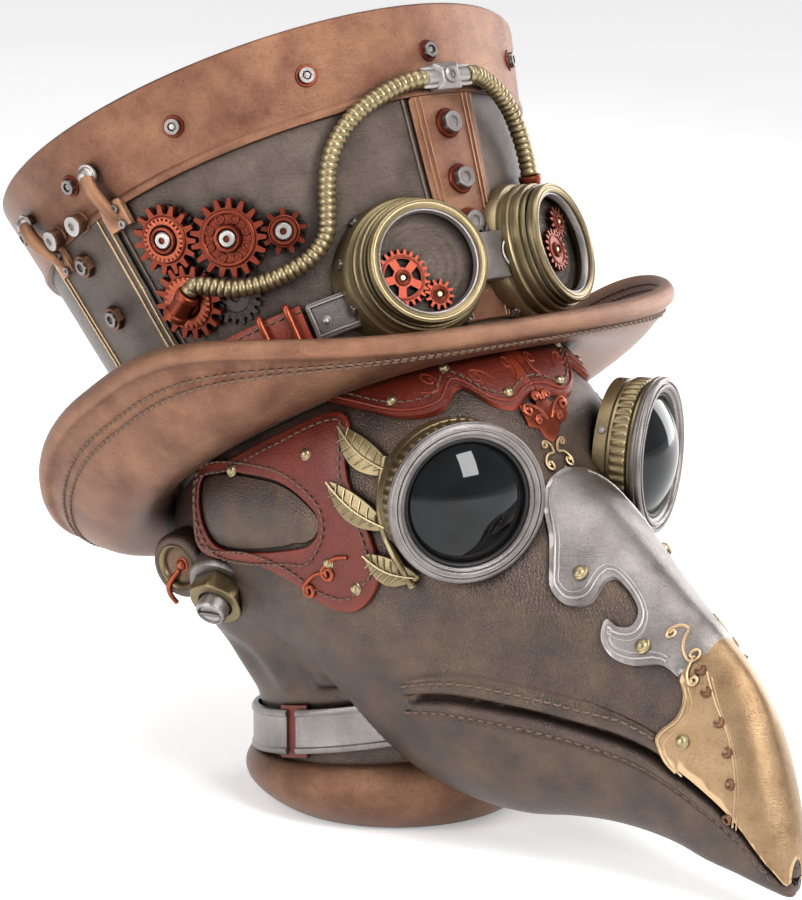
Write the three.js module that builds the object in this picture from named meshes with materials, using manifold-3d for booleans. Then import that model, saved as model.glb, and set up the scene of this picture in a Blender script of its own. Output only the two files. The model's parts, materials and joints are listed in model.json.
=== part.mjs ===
// Plague doctor head: a beaked leather mask over a hooded head and neck, under a riveted
// top hat that carries goggles, two ribbed hoses and a train of gears.
// Millimetres, +Z up, the face looks along -Y, and the origin is the middle of the flat
// underside of the base. "Right" is the figure's own right, at -X.
import * as THREE from 'three';
import { mergeVertices } from 'three/addons/utils/BufferGeometryUtils.js';
import Module from 'manifold-3d';

const wasm = await Module();
wasm.setup();

// ---- Driving dimensions ----------------------------------------------------------------
const GAP = 0.3; // seating gap between two pieces that touch
const ROUND = 24; // flats round a turned piece
const PLATE = 1.6; // thickness of the metal plates and trims laid on the mask

// Base and neck
const BASE_R = 42;
const BASE_BULGE = 8;
const BASE_H = 22;
const NECK_LEAN = 0.23; // the collar and strap rise this much towards the front
const NECK_R = 49.5;
const STRAP_H = 16;
const STRAP_T = 2.2;
const STRAP_LIFT = 3; // strap above the top of the base

// Hat: an elliptical crown that flares upwards, seated tilted back on the head
const HAT_POS = new THREE.Vector3(0, 17, 132);
const HAT_TILT = 31;
const HAT_ROLL = 2;
const CROWN_H = 116;
const CROWN_FOOT = [65, 74.5]; // half width and half depth at the foot
const CROWN_HEAD = [93.5, 96]; // the same at the top
const CROWN_WALL = 3.5;
const HEAD_CLEAR = 1.2; // between the head and the hat's mouth
const OVERLAY = 1.5; // copper bands and strips stand this thick on the crown
const BAND_LOW = 85; // the top band runs from here up
const STRIP_LOW = 12;
const FRONT_STRIP_HALF = 9.5; // degrees
const SIDE_STRIP = [85, 113]; // degrees from the front, on each side

// Brim
const BRIM_HALF_X = 112;
const BRIM_HALF_Y = 100;
const BRIM_BACK = 3.5; // the rim's middle lies this far behind the crown's
const BRIM_WIDEN = 0.11; // wider in front than behind, as a share
const BRIM_SQUARE = 0.75; // below 1 the rim is squarer than an ellipse
const BRIM_T = 5;
const BRIM_TOP = 4; // height of its upper face at the crown
const BRIM_EDGE = 7.5; // thickness of the rolled edge
const BRIM_GAP = 0.5;
const BRIM_SAG = [4, 12]; // how far it bellies down in front and behind
const BRIM_CURL = 3; // higher keeps the brim flat for longer before it curls
const BRIM_AROUND = 36;
const BRIM_ACROSS = 4;

// Gear train on the crown's right side
const GEAR_MODULE = 1.42;
const GEAR_T = 2.4;
const GEAR_STAND = 1.6; // from the crown to the back of a gear
const MESH_SLACK = 0.45; // added to each pair's centre distance
const POST_R = 1.6;
const POST_HEAD_R = 2.8;
const POST_HEAD_T = 1.2;
const DRIVE_TEETH = 17; // the big gear in the middle of the train
const REAR_TEETH = 15;
const LOWER_TEETH = 16;
const FRONT_TEETH = 9;
const DRIVE_AT = [59.1, 59.5]; // degrees from the front, height on the crown
const REAR_BEARING = 157; // degrees round the drive gear, 0 towards the figure's left
const FRONT_BEARING = -15;
const LOWER_BEARING = -98; // round the rear gear

// Hoses
const HOSE_R = 3;
const HOSE_SIDES = 4; // per half turn
const HOSE_STAND = 5.4; // from the crown's wall to the middle of a hose
const ELBOW_R = 3.6;
const ELBOW_TURN = 25; // degrees that the elbow's pipe rises towards the hose
const COUPLING = [11, 6.5, 9]; // width, depth and height of the block that joins the hoses
const COUPLING_H = 90; // height on the crown

// Goggles
const GOGGLE_YAW = 20; // outward turn of each goggle
const GOGGLE_DROP = 8; // degrees that it looks down from the hat's level
const GOGGLE_R = 21;
const GOGGLE_APART = 11; // from the middle of the face to the edge of each ring
const GOGGLE_AT = [GOGGLE_R + GOGGLE_APART, -92, 26.7]; // middle of a ring's front, left side
const GOGGLE_OPEN = 17.8;
const GOGGLE_FLARE = 5; // how much wider the cup's foot is
const CUP_DEPTH = 32; // before the crown cuts it
const RING_DEPTH = 3.6;
const CUP_WALL = 1.4;
const DIAL_T = 1.5;
const PIN_R = 1.1;
const SMALL_MODULE = 0.75;
const SMALL_T = 1.6;
const STRAP_BAND = [15.5, 29.5]; // lowest and highest on the crown
const STRAP_FROM = 50; // degrees from the front where the goggle strap begins
const TONGUE_FROM = 44;

// Eyes
const EYE_AT = [46.9, -82, 129.5]; // middle of a rim's front face, on the left side
const EYE_YAW = 25;
const EYE_R = 27;
const EYE_OPEN = 21.5;
const EYE_RIM_DEPTH = 4;
const EYE_BARREL_R = 25.6;
const EYE_BARREL_DEPTH = 13;
const EYE_CLEAR = 0.8; // round the turning barrel in the mask's socket
const LENS_R = 20;
const LENS_RISE = 7;
const LENS_BACK = 6;
const LENS_EDGE = 2.6; // depth of the lens's edge behind the rim's front

// Ears
const EAR_AT = [60, 25, 81]; // foot of the nut on the left side
const EAR_AXIS = [0.78, -0.28, -0.56];
const EAR_NUT_R = 10.7;
const EAR_NUT_T = 7;
const EAR_BOLT_R = 5.6;
const EAR_BOLT_T = 5;

// Hex nuts on the front strip
const NUT_R = 4;
const NUT_T = 2.8;
const NUT_BORE = 1.7;
const NUT_OVER_GOGGLES = 20; // the lowest nut stands this much above a goggle's radius
const NUT_HEIGHTS = [GOGGLE_R + NUT_OVER_GOGGLES, 56, 75];

// ---- Materials -------------------------------------------------------------------------
function finish(color, roughness, metalness) {
  return new THREE.MeshStandardMaterial({ color, roughness, metalness });
}
const COPPER = finish(0xa06f55, 0.4, 0.8);
const PEWTER = finish(0x7b706c, 0.45, 0.8);
const BRASS = finish(0x93824f, 0.4, 0.85);
const SILVER = finish(0xa9a3a1, 0.35, 0.9);
const RED_COPPER = finish(0xb3452b, 0.4, 0.6);
const RED_LEATHER = finish(0x7e2a17, 0.45, 0.1);
const LEATHER = finish(0x5e5250, 0.5, 0.4);
const GOLD = finish(0xb59a73, 0.35, 0.85);
const BRONZE = finish(0x9c7458, 0.45, 0.7);
const GLASS = finish(0x0a0a0c, 0.05, 0.0);

// ---- Shape helpers ---------------------------------------------------------------------
const rad = THREE.MathUtils.degToRad;
const vec = (x, y, z) => new THREE.Vector3(x, y, z);
const signedPower = (v, p) => Math.sign(v) * Math.abs(v) ** p;
const steps = (n) => Array.from({ length: n }, (_, i) => i);

// A closed mesh from points and triangles, turned so that its faces point outwards.
function closedMesh(points, index) {
  let volume = 0;
  for (let i = 0; i < index.length; i += 3) {
    const [a, b, c] = [points[index[i]], points[index[i + 1]], points[index[i + 2]]];
    volume += a.dot(vec(0, 0, 0).crossVectors(b, c));
  }
  if (volume < 0) index.reverse();
  const geometry = new THREE.BufferGeometry().setFromPoints(points);
  geometry.setIndex(index);
  return geometry;
}

// Joins rows of points into a surface. Rows close on themselves sideways; lengthways the
// surface closes into a ring, or each end is capped to its middle.
function skinOf(rows, ring = false) {
  const n = rows[0].length;
  const points = rows.flat();
  const index = [];
  const last = ring ? rows.length : rows.length - 1;
  for (let i = 0; i < last; i++) {
    const next = ((i + 1) % rows.length) * n;
    for (let j = 0; j < n; j++) {
      const k = (j + 1) % n;
      index.push(i * n + j, i * n + k, next + k, i * n + j, next + k, next + j);
    }
  }
  if (!ring) {
    for (const [row, turn] of [[0, 1], [rows.length - 1, -1]]) {
      const middle = vec(0, 0, 0);
      rows[row].forEach((p) => middle.addScaledVector(p, 1 / n));
      points.push(middle);
      for (let j = 0; j < n; j++) {
        const pair = [row * n + (j + 1) % n, row * n + j];
        if (turn < 0) pair.reverse();
        index.push(points.length - 1, ...pair);
      }
    }
  }
  return closedMesh(points, index);
}

// A curved slab: place(u, v, out) gives a point, u and v run from 0 to 1.
function slab(place, nu, nv, inner, outer) {
  const rows = steps(nu + 1).map((i) => {
    const u = i / nu;
    const front = steps(nv + 1).map((j) => place(u, j / nv, outer));
    const back = steps(nv + 1).map((j) => place(u, 1 - j / nv, inner));
    return [...front, ...back];
  });
  return skinOf(rows);
}

// A body of revolution about Z from [radius, height] pairs; a ring when it stays off the axis.
function turned(profile, segments = ROUND) {
  const closes = profile[0][0] > 0;
  const list = closes ? [...profile, profile[0]] : profile;
  const lathe = new THREE.LatheGeometry(list.map(([r, z]) => new THREE.Vector2(r, z)), segments);
  return lathe.rotateX(Math.PI / 2);
}

function toSolid(geometry) {
  const bare = geometry.clone();
  bare.deleteAttribute('normal');
  bare.deleteAttribute('uv');
  const merged = mergeVertices(bare, 1e-4);
  const mesh = new wasm.Mesh({
    numProp: 3,
    vertProperties: new Float32Array(merged.attributes.position.array),
    triVerts: new Uint32Array(merged.index.array),
  });
  return new wasm.Manifold(mesh);
}

function fromSolid(manifold) {
  const mesh = manifold.getMesh();
  const geometry = new THREE.BufferGeometry();
  geometry.setAttribute('position', new THREE.BufferAttribute(mesh.vertProperties, 3));
  geometry.setIndex(new THREE.BufferAttribute(mesh.triVerts, 1));
  return geometry;
}

const joined = (...list) => fromSolid(list.map(toSolid).reduce((a, b) => a.add(b)));
const cutBy = (geometry, ...tools) => fromSolid(
  tools.map(toSolid).reduce((a, b) => a.subtract(b), toSolid(geometry)));
const common = (a, b) => fromSolid(toSolid(a).intersect(toSolid(b)));

// A block from its lowest to its highest corner.
function block(low, high) {
  const size = high.map((v, i) => v - low[i]);
  return new THREE.BoxGeometry(...size).translate(...low.map((v, i) => v + size[i] / 2));
}

function tube(points, radius, sides, count) {
  const curve = new THREE.CatmullRomCurve3(points);
  const section = new THREE.Shape();
  section.absarc(0, 0, radius, 0, Math.PI * 2);
  return new THREE.ExtrudeGeometry(section, {
    steps: count, extrudePath: curve, curveSegments: sides, bevelEnabled: false });
}

// Stands a shape drawn in a side view, [y, z], up in the figure's frame, its depth along X.
function fromSide(geometry) {
  return geometry.applyMatrix4(new THREE.Matrix4().makeBasis(vec(0, 1, 0), vec(0, 0, 1), vec(1, 0, 0)));
}

function piece(parent, name, geometry, material) {
  const mesh = new THREE.Mesh(geometry, material);
  mesh.name = name;
  parent.add(mesh);
  return mesh;
}

// ---- Head ------------------------------------------------------------------------------
// Each mask station is a section from the crest to the underside:
// [crest y, crest z, underside y, underside z, half width].
const MASK_STATIONS = [
  [33, 176, 33, 52, 65],
  [14, 182, 14, 46, 65.5],
  [-12, 181, -12, 34, 64.5],
  [-35, 176, -34, 22, 61.5],
  [-58, 164, -54, 15, 56.5],
  [-71, 150, -68, 13, 51],
  [-78, 134, -82, 13.5, 45.5],
  [-90, 127, -98, 16.5, 39],
  [-104, 120, -112, 18, 31.5],
  [-120, 109, -126, 18, 25],
  [-137, 97, -140, 16.5, 20],
  [-150, 88.5, -152, 13.5, 16.5],
  [-162, 79, -163, 12, 13.5],
  [-170, 69, -171.5, 10.5, 11],
  [-176, 56.5, -178, 9.5, 8.5],
  [-180.5, 43.5, -181.5, 9, 6],
  [-184, 29.5, -183.5, 9.5, 3.5],
  [-185, 20, -184.5, 12.5, 1.5],
];
const MASK_AROUND = 24;
const MASK_ALONG = 24;
const BEAK_FROM = -78; // ahead of this the section sharpens to a ridge

const crestLine = new THREE.CatmullRomCurve3(MASK_STATIONS.map((s) => vec(0, s[0], s[1])));
const underLine = new THREE.CatmullRomCurve3(MASK_STATIONS.map((s) => vec(s[4], s[2], s[3])));

// One ring of the mask's outside, t from 0 at the back to 1 at the tip, grown by out.
function maskRing(t, out) {
  const top = crestLine.getPoint(t);
  const low = underLine.getPoint(t);
  const width = low.x + out;
  low.x = 0;
  const rise = top.clone().sub(low);
  const height = rise.length() / 2 + out;
  rise.normalize();
  const middle = top.add(low).multiplyScalar(0.5);
  const ridge = THREE.MathUtils.smoothstep(-middle.y, -BEAK_FROM - 12, -BEAK_FROM + 30);
  const topPower = THREE.MathUtils.lerp(0.84, 1.12, ridge);
  const lowPower = 0.84;
  return steps(MASK_AROUND).map((i) => {
    const a = (i / MASK_AROUND) * Math.PI * 2;
    const power = Math.cos(a) > 0 ? topPower : lowPower;
    const p = middle.clone().addScaledVector(rise, height * signedPower(Math.cos(a), power));
    p.x = width * signedPower(Math.sin(a), power);
    return p;
  });
}

function maskSkin(out) {
  return skinOf(steps(MASK_ALONG + 1).map((i) => maskRing(i / MASK_ALONG, out)));
}

// The space behind the jaw, seen from the side, that the mask leaves to the neck: [y, z].
const THROAT_LINE = [[60, 66], [14, 64], [-6, 68], [-18, 64], [-32, 52], [-42, 36], [-50, 20], [-56, -10]];

function throatRoom(margin) {
  const shape = new THREE.Shape();
  shape.moveTo(60, -10);
  THROAT_LINE.forEach(([y, z]) => shape.lineTo(y + margin, z - margin));
  shape.closePath();
  const prism = new THREE.ExtrudeGeometry(shape, { depth: 200, bevelEnabled: false });
  return fromSide(prism.translate(0, 0, -100));
}

// Hood stations: [z, middle y, half width, half depth].
const HOOD_STATIONS = [
  [BASE_H + GAP, 0, NECK_R, NECK_R],
  [BASE_H + 12, 0, NECK_R, NECK_R],
  [BASE_H + 24, 0, NECK_R, NECK_R],
  [55, 3, 52, 53],
  [65, 9, 56, 64],
  [76, 12, 61, 71],
  [88, 12, 62, 72],
  [108, 16, 60, 66],
  [136, 20, 57, 66],
  [156, 23, 49, 60],
  [172, 26, 39, 50],
  [184, 28, 28, 34],
  [190, 29, 12, 16],
];
const HOOD_AROUND = 20;

function hoodSkin(out = 0) {
  return skinOf(HOOD_STATIONS.map(([z, y, a, b], k) => steps(HOOD_AROUND).map((i) => {
    const t = (i / HOOD_AROUND) * Math.PI * 2;
    const square = k < 3 ? 1 : 0.8;
    const p = vec((a + out) * signedPower(Math.sin(t), square),
      y + (b + out) * signedPower(Math.cos(t), square), z);
    if (k < 3) p.z -= NECK_LEAN * p.y * (k === 0 ? 0.5 : 1);
    return p;
  })));
}

// ---- Hat surfaces, in the hat's own frame ----------------------------------------------
function crownRadii(h) {
  return [0, 1].map((i) => THREE.MathUtils.lerp(CROWN_FOOT[i], CROWN_HEAD[i], h / CROWN_H));
}

// A point on the crown: phi in degrees from the front towards the figure's right.
function onCrown(phi, h, out = 0) {
  const [rx, ry] = crownRadii(h);
  return vec(-(rx + out) * Math.sin(rad(phi)), -(ry + out) * Math.cos(rad(phi)), h);
}

// A frame on the crown's wall: X to the right as seen from outside, Y up the wall, Z out.
function crownFrame(phi, h, out = 0) {
  const [rx, ry] = crownRadii(h);
  const up = onCrown(phi, h + 1).sub(onCrown(phi, h)).normalize();
  const across = vec(rx * Math.cos(rad(phi)), -ry * Math.sin(rad(phi)), 0).normalize();
  const outward = across.clone().cross(up).normalize();
  const side = up.clone().cross(outward);
  return new THREE.Matrix4().makeBasis(side, up, outward)
    .setPosition(onCrown(phi, h).addScaledVector(outward, out));
}

// A cone wall through the crown at a given offset, between two heights, as a solid cone.
function crownCone(out, low, high, segments = 36) {
  return skinOf([low, high].map((h) => steps(segments).map((i) => onCrown((i / segments) * 360, h, out))));
}

function crownPatch(phi0, phi1, low, high, inner, outer) {
  const along = Math.max(2, Math.ceil((phi1 - phi0) / 6));
  const place = (u, v, out) => onCrown(
    THREE.MathUtils.lerp(phi0, phi1, u), THREE.MathUtils.lerp(low, high, v), out);
  return slab(place, along, 1, inner, outer);
}

// Height of the brim's rim round the hat: lowest in front, turned up at the sides.
function rimPoint(phi) {
  const a = rad(phi);
  return vec(
    -BRIM_HALF_X * (1 + BRIM_WIDEN * Math.cos(a)) * signedPower(Math.sin(a), BRIM_SQUARE),
    -BRIM_HALF_Y * signedPower(Math.cos(a), BRIM_SQUARE) + BRIM_BACK,
    15.8 - 13.8 * Math.cos(2 * a) - 2.9 * Math.cos(3 * a) + 2.5 * Math.cos(4 * a));
}

const hatMatrix = new THREE.Matrix4().compose(HAT_POS,
  new THREE.Quaternion().setFromEuler(new THREE.Euler(rad(-HAT_TILT), rad(HAT_ROLL), 0)),
  vec(1, 1, 1));

// The room that the hat takes up, which the head stays clear of. The mask and the hood
// reach up inside the crown; the trims on them stop at the brim.
const aboveBrim = () => block([-200, -200, -2.5 - GAP], [200, 220, 190]);

// What is inside the hat stays within its mouth all the way up, so that it can be lifted.
function hatRoom() {
  const inside = skinOf([-4, 150].map((h) => steps(2 * ROUND).map((i) => onCrown(
    (i / ROUND) * 180, 0, -CROWN_WALL - HEAD_CLEAR).setZ(h))));
  return joined(cutBy(aboveBrim(), inside), brimSkin(1)).applyMatrix4(hatMatrix);
}

function brimSkin(margin) {
  return skinOf(steps(BRIM_AROUND).map((k) => {
    const phi = (k / BRIM_AROUND) * 360;
    const foot = onCrown(phi, BRIM_TOP, BRIM_GAP - margin);
    foot.z = 0;
    const rim = rimPoint(phi);
    const belly = THREE.MathUtils.lerp(...BRIM_SAG, (1 - Math.cos(rad(phi))) / 2);
    const upper = steps(BRIM_ACROSS + 1).map((i) => {
      const s = i / BRIM_ACROSS;
      const p = foot.clone().lerp(rim, s);
      const sag = belly * Math.sin(Math.PI * s ** 1.2);
      p.z = BRIM_TOP + margin - sag + (rim.z - BRIM_TOP) * s ** BRIM_CURL;
      return p;
    });
    const under = upper.map((p, i) => {
      const thick = THREE.MathUtils.lerp(BRIM_T, BRIM_EDGE, i / BRIM_ACROSS);
      return vec(p.x, p.y, p.z - thick - 2 * margin);
    }).reverse();
    return [...upper, ...under];
  }), true);
}

// ---- Build -----------------------------------------------------------------------------
const figure = new THREE.Group();
const hat = new THREE.Group();
hat.applyMatrix4(hatMatrix);
figure.add(hat);

// Tips a piece of the neck forwards: its height changes with y, and its plan stays round.
function lean(geometry, share) {
  const points = geometry.attributes.position;
  for (const i of steps(points.count)) {
    points.setZ(i, points.getZ(i) - share(points.getZ(i)) * NECK_LEAN * points.getY(i));
  }
  return geometry;
}

// The base: a rolled collar, grown by a margin.
function baseSkin(margin) {
  const profile = [[0, -margin], [BASE_R + margin, -margin]];
  for (const i of steps(9)) {
    const r = BASE_R + BASE_BULGE * Math.sin((i / 8) * Math.PI) ** 0.7 + (i / 8) * (NECK_R - BASE_R);
    profile.push([r + margin, (i / 8) * BASE_H]);
  }
  profile.push([NECK_R, BASE_H + margin], [0, BASE_H + margin]);
  return lean(turned(profile, ROUND), (z) => Math.max(0, z) / BASE_H / 2);
}

function strapSkin(margin) {
  const low = BASE_H + STRAP_LIFT - margin;
  const high = BASE_H + STRAP_LIFT + STRAP_H + margin;
  const inner = NECK_R + GAP - margin;
  const outer = NECK_R + GAP + STRAP_T + margin;
  return lean(turned([[inner, low], [outer, low], [outer, high], [inner, high]], ROUND), () => 1);
}

piece(figure, 'neck_base', baseSkin(0), BRONZE);
const room = hatRoom();
const trimRoom = joined(aboveBrim(), brimSkin(1)).applyMatrix4(hatMatrix);
const throat = throatRoom(0);
const maskRoom = cutBy(maskSkin(GAP), throatRoom(GAP));

// ---- Mask ------------------------------------------------------------------------------
// The mouth, seen from the side: [y, z] from its corner to the tip.
const MOUTH_LINE = [[-58, 59], [-73, 61.5], [-94, 60.3], [-112, 57.4], [-132, 53.5], [-147, 47.4],
  [-167, 34.7], [-180, 19.4], [-192, 4]];
const MOUTH_GAP = 0.8;

// A prism seen from the side through [y, z] points, on one side of the head or on both.
function sidePrism(outline, from = -120, to = 120, hole = null) {
  const shape = new THREE.Shape(outline.map(([y, z]) => new THREE.Vector2(y, z)));
  if (hole) shape.holes.push(new THREE.Path(hole.map(([y, z]) => new THREE.Vector2(y, z))));
  const prism = new THREE.ExtrudeGeometry(shape, { depth: to - from, bevelEnabled: false });
  return fromSide(prism.translate(0, 0, from));
}

// A prism seen from the front through [x, z] points.
function frontPrism(outline) {
  const shape = new THREE.Shape(outline.map(([x, z]) => new THREE.Vector2(x, z)));
  const prism = new THREE.ExtrudeGeometry(shape, { depth: 110, bevelEnabled: false });
  return prism.rotateX(Math.PI / 2);
}

const smooth = (points, count) => new THREE.SplineCurve(points.map(([a, b]) => new THREE.Vector2(a, b)))
  .getPoints(count).map((p) => [p.x, p.y]);

const belowMouth = sidePrism([...MOUTH_LINE, [-192, -20], [-58, -20]]);
const aboveMouth = sidePrism([...MOUTH_LINE, [-192, -20], [-58, -20]].map(
  ([y, z]) => [y === -58 ? y + MOUTH_GAP : y, z + MOUTH_GAP]));

// The layer over the mask that plates and trims are cut from.
const layer = (inner, outer) => cutBy(maskSkin(outer), maskSkin(inner));
const plateLayer = layer(GAP, GAP + PLATE);
const raisedLayer = layer(2 * GAP + PLATE, 2 * GAP + 2 * PLATE);

function eyeFrame(side) {
  const yaw = rad(EYE_YAW) * side;
  const out = vec(Math.sin(yaw), -Math.cos(yaw), 0);
  const across = vec(0, 0, 1).cross(out);
  return new THREE.Matrix4().makeBasis(across, vec(0, 0, 1), out)
    .setPosition(EYE_AT[0] * side, EYE_AT[1], EYE_AT[2]);
}

// The socket in which an eye's barrel turns.
function eyeRoom(side, clear) {
  const low = -EYE_RIM_DEPTH - GAP - EYE_BARREL_DEPTH - clear;
  const step = -EYE_RIM_DEPTH - clear;
  const room = turned([[0, low], [EYE_BARREL_R + clear, low], [EYE_BARREL_R + clear, step],
    [EYE_R + clear, step], [EYE_R + clear, 40], [0, 40]]);
  return room.applyMatrix4(eyeFrame(side));
}
const eyeRooms = [eyeRoom(-1, EYE_CLEAR), eyeRoom(1, EYE_CLEAR)];

const maskBody = cutBy(maskSkin(0), room, baseSkin(GAP), throat, ...eyeRooms);
piece(figure, 'mask', cutBy(maskBody, aboveMouth), LEATHER);
piece(figure, 'lower_beak', common(maskBody, belowMouth), LEATHER);
piece(figure, 'hood', cutBy(hoodSkin(), maskRoom, room, strapSkin(GAP)), LEATHER);
piece(figure, 'neck_strap', cutBy(strapSkin(0), maskRoom, baseSkin(GAP)), SILVER);

// Edge of the silver nose plate, from the bridge between the eyes forwards: [y, z].
const NOSE_EDGE = [[-80, 133], [-86, 125], [-94, 115], [-98, 107], [-101, 100], [-107, 95.5],
  [-113, 97], [-115, 104], [-121, 101], [-127, 95], [-127, 90.5], [-123, 90], [-119, 92],
  [-119.5, 86], [-124, 81], [-131, 79], [-139, 80], [-145, 77]];
const NOSE_END = [[-151, 86], [-156, 100]];
// Edge of the gilt beak sheath below and behind it.
const SHEATH_EDGE = [[-146, 76], [-148.5, 71], [-147.5, 65], [-143, 60.5], [-141.5, 57], [-144, 51.5],
  [-148, 48]];

function buildPlates() {
  const nose = sidePrism([[-72, 150], [-78, 139], ...smooth(NOSE_EDGE, 26), ...NOSE_END]);
  piece(figure, 'nose_plate', cutBy(common(plateLayer, nose), ...eyeRooms), SILVER);
  const lip = MOUTH_LINE.slice(5, 8).map(([y, z]) => [y, z + MOUTH_GAP]);
  const sheath = sidePrism([[-157, 100], [-151.5, 85.5], ...smooth(SHEATH_EDGE, 9), ...lip,
    [-200, 22.5], [-200, 100]]);
  piece(figure, 'beak_sheath', common(plateLayer, sheath), GOLD);
}

// Cheek trim: a red leather panel with a window in it, [y, z].
const CHEEK_OUTER = [[31, 122], [14, 130], [-4, 140], [-29, 151], [-37, 131], [-48, 114], [-52, 100],
  [-44, 88.5], [-31, 88], [-15, 94], [3, 96.5], [31, 96]];
const CHEEK_WINDOW = [[27, 122], [-6, 127], [-25, 120], [-28, 112], [-18, 105], [22, 99]];
// Leaves beside each eye: [tip y, tip z, root y, root z].
const LEAVES = [[-31, 146, -53, 134], [-31.5, 129, -55, 117], [-48, 107.5, -66, 102]];
const LEAF_HALF = 3.6;
const LEAF_STEM = [[-46, 140], [-51.5, 118], [-63, 98], [-68, 98], [-56.5, 118], [-51, 140]];
// Scalloped lower edge of the brow trim, from the middle outwards: [x, z].
const BROW_EDGE = [[GAP / 2, 156], [5, 155.2], [12, 152.5], [19, 154.5], [26, 160], [34, 154], [43, 151.4],
  [50, 153.4], [58, 156]];
const BROW_TOP = 176;
const EMBLEM = [[0, 155.4], [4, 151], [10, 152.4], [9.5, 147], [5, 145.5], [3, 142], [0, 140.5]];

function leafOutline([ty, tz, ry, rz]) {
  const along = new THREE.Vector2(ry - ty, rz - tz);
  const across = new THREE.Vector2(-along.y, along.x).normalize();
  const half = (k) => LEAF_HALF * Math.sin(Math.PI * Math.min(1, 0.05 + 0.9 * k)) ** 0.8;
  const edge = (turn) => steps(5).map((i) => {
    const k = i / 4;
    const w = turn * half(k);
    return [ty + along.x * k + across.x * w, tz + along.y * k + across.y * w];
  });
  return [...edge(1), ...edge(-1).reverse()];
}

function buildTrims() {
  for (const [name, side] of [['right', -1], ['left', 1]]) {
    const [from, to] = side < 0 ? [-120, -15] : [15, 120];
    const trim = sidePrism(smooth([...CHEEK_OUTER, CHEEK_OUTER[0]], 26), from, to,
      smooth([...CHEEK_WINDOW, CHEEK_WINDOW[0]], 15));
    piece(figure, `cheek_trim_${name}`, cutBy(common(plateLayer, trim), trimRoom, ...eyeRooms), RED_LEATHER);
    const spray = [...LEAVES.map(leafOutline), LEAF_STEM].map((o) => sidePrism(o, from, to));
    const leaves = cutBy(common(raisedLayer, joined(...spray)), trimRoom, ...eyeRooms);
    piece(figure, `leaf_spray_${name}`, leaves, BRASS);
  }
  for (const [name, side] of [['right', -1], ['left', 1]]) {
    const brow = [...BROW_EDGE, [58, BROW_TOP], [GAP / 2, BROW_TOP]].map(([x, z]) => [x * side, z]);
    piece(figure, `brow_trim_${name}`,
      cutBy(common(plateLayer, frontPrism(brow)), trimRoom, ...eyeRooms), RED_LEATHER);
  }
  const half = EMBLEM.slice(1, -1).reverse().map(([x, z]) => [-x, z]);
  piece(figure, 'brow_emblem', common(plateLayer, frontPrism([...EMBLEM, ...half])), RED_COPPER);
}

// ---- Eyes ------------------------------------------------------------------------------
function buildEye(name, side) {
  const eye = new THREE.Group();
  eye.applyMatrix4(eyeFrame(side));
  figure.add(eye);
  const back = -EYE_RIM_DEPTH - GAP;
  const bore = LENS_R + GAP;
  piece(eye, `eye_barrel_${name}`, turned([[bore, back - EYE_BARREL_DEPTH],
    [EYE_BARREL_R, back - EYE_BARREL_DEPTH], [EYE_BARREL_R, back], [bore, back]], ROUND), BRASS);
  const edge = 1.2;
  piece(eye, `eye_rim_${name}`, turned([[EYE_OPEN, -EYE_RIM_DEPTH], [EYE_R, -EYE_RIM_DEPTH],
    [EYE_R, -edge], [EYE_R - edge, 0], [EYE_OPEN + edge, 0], [EYE_OPEN, -edge]], ROUND), SILVER);
  const dome = steps(5).map((i) => {
    const a = ((4 - i) / 4) * (Math.PI / 2);
    return [LENS_R * Math.sin(a), -LENS_EDGE + LENS_RISE * Math.cos(a)];
  });
  dome[dome.length - 1][0] = 0;
  piece(eye, `lens_${name}`, turned([[0, -LENS_BACK], [LENS_R, -LENS_BACK], ...dome], ROUND), GLASS);
}

// ---- Ears ------------------------------------------------------------------------------
function buildEar(name, side) {
  const out = vec(EAR_AXIS[0] * side, EAR_AXIS[1], EAR_AXIS[2]).normalize();
  const turn = new THREE.Quaternion().setFromUnitVectors(vec(0, 0, 1), out);
  const at = vec(EAR_AT[0] * side, EAR_AT[1], EAR_AT[2]);
  const place = new THREE.Matrix4().compose(at, turn, vec(1, 1, 1));
  const head = [maskRoom, hoodSkin(GAP)];
  const sunk = -6;
  const hex = turned([[0, sunk], [EAR_NUT_R, sunk], [EAR_NUT_R, EAR_NUT_T - 1], [EAR_NUT_R - 1, EAR_NUT_T],
    [0, EAR_NUT_T]], 6);
  const bore = turned([[0, sunk - 1], [EAR_BOLT_R + GAP, sunk - 1], [EAR_BOLT_R + GAP, EAR_NUT_T + 1],
    [0, EAR_NUT_T + 1]], 16);
  const top = EAR_NUT_T + EAR_BOLT_T;
  const bolt = turned([[0, sunk], [EAR_BOLT_R, sunk], [EAR_BOLT_R, top - 1.2], [EAR_BOLT_R - 1.2, top],
    [0, top]], 16);
  const slot = block([-EAR_BOLT_R - 1, -0.8, top - 1.6], [EAR_BOLT_R + 1, 0.8, top + 1]);
  piece(figure, `ear_nut_${name}`, cutBy(cutBy(hex, bore).applyMatrix4(place), ...head), BRASS);
  piece(figure, `ear_bolt_${name}`, cutBy(cutBy(bolt, slot).applyMatrix4(place), ...head), SILVER);
}

buildPlates();
buildTrims();
buildEye('right', -1);
buildEye('left', 1);
buildEar('right', -1);
buildEar('left', 1);

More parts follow.
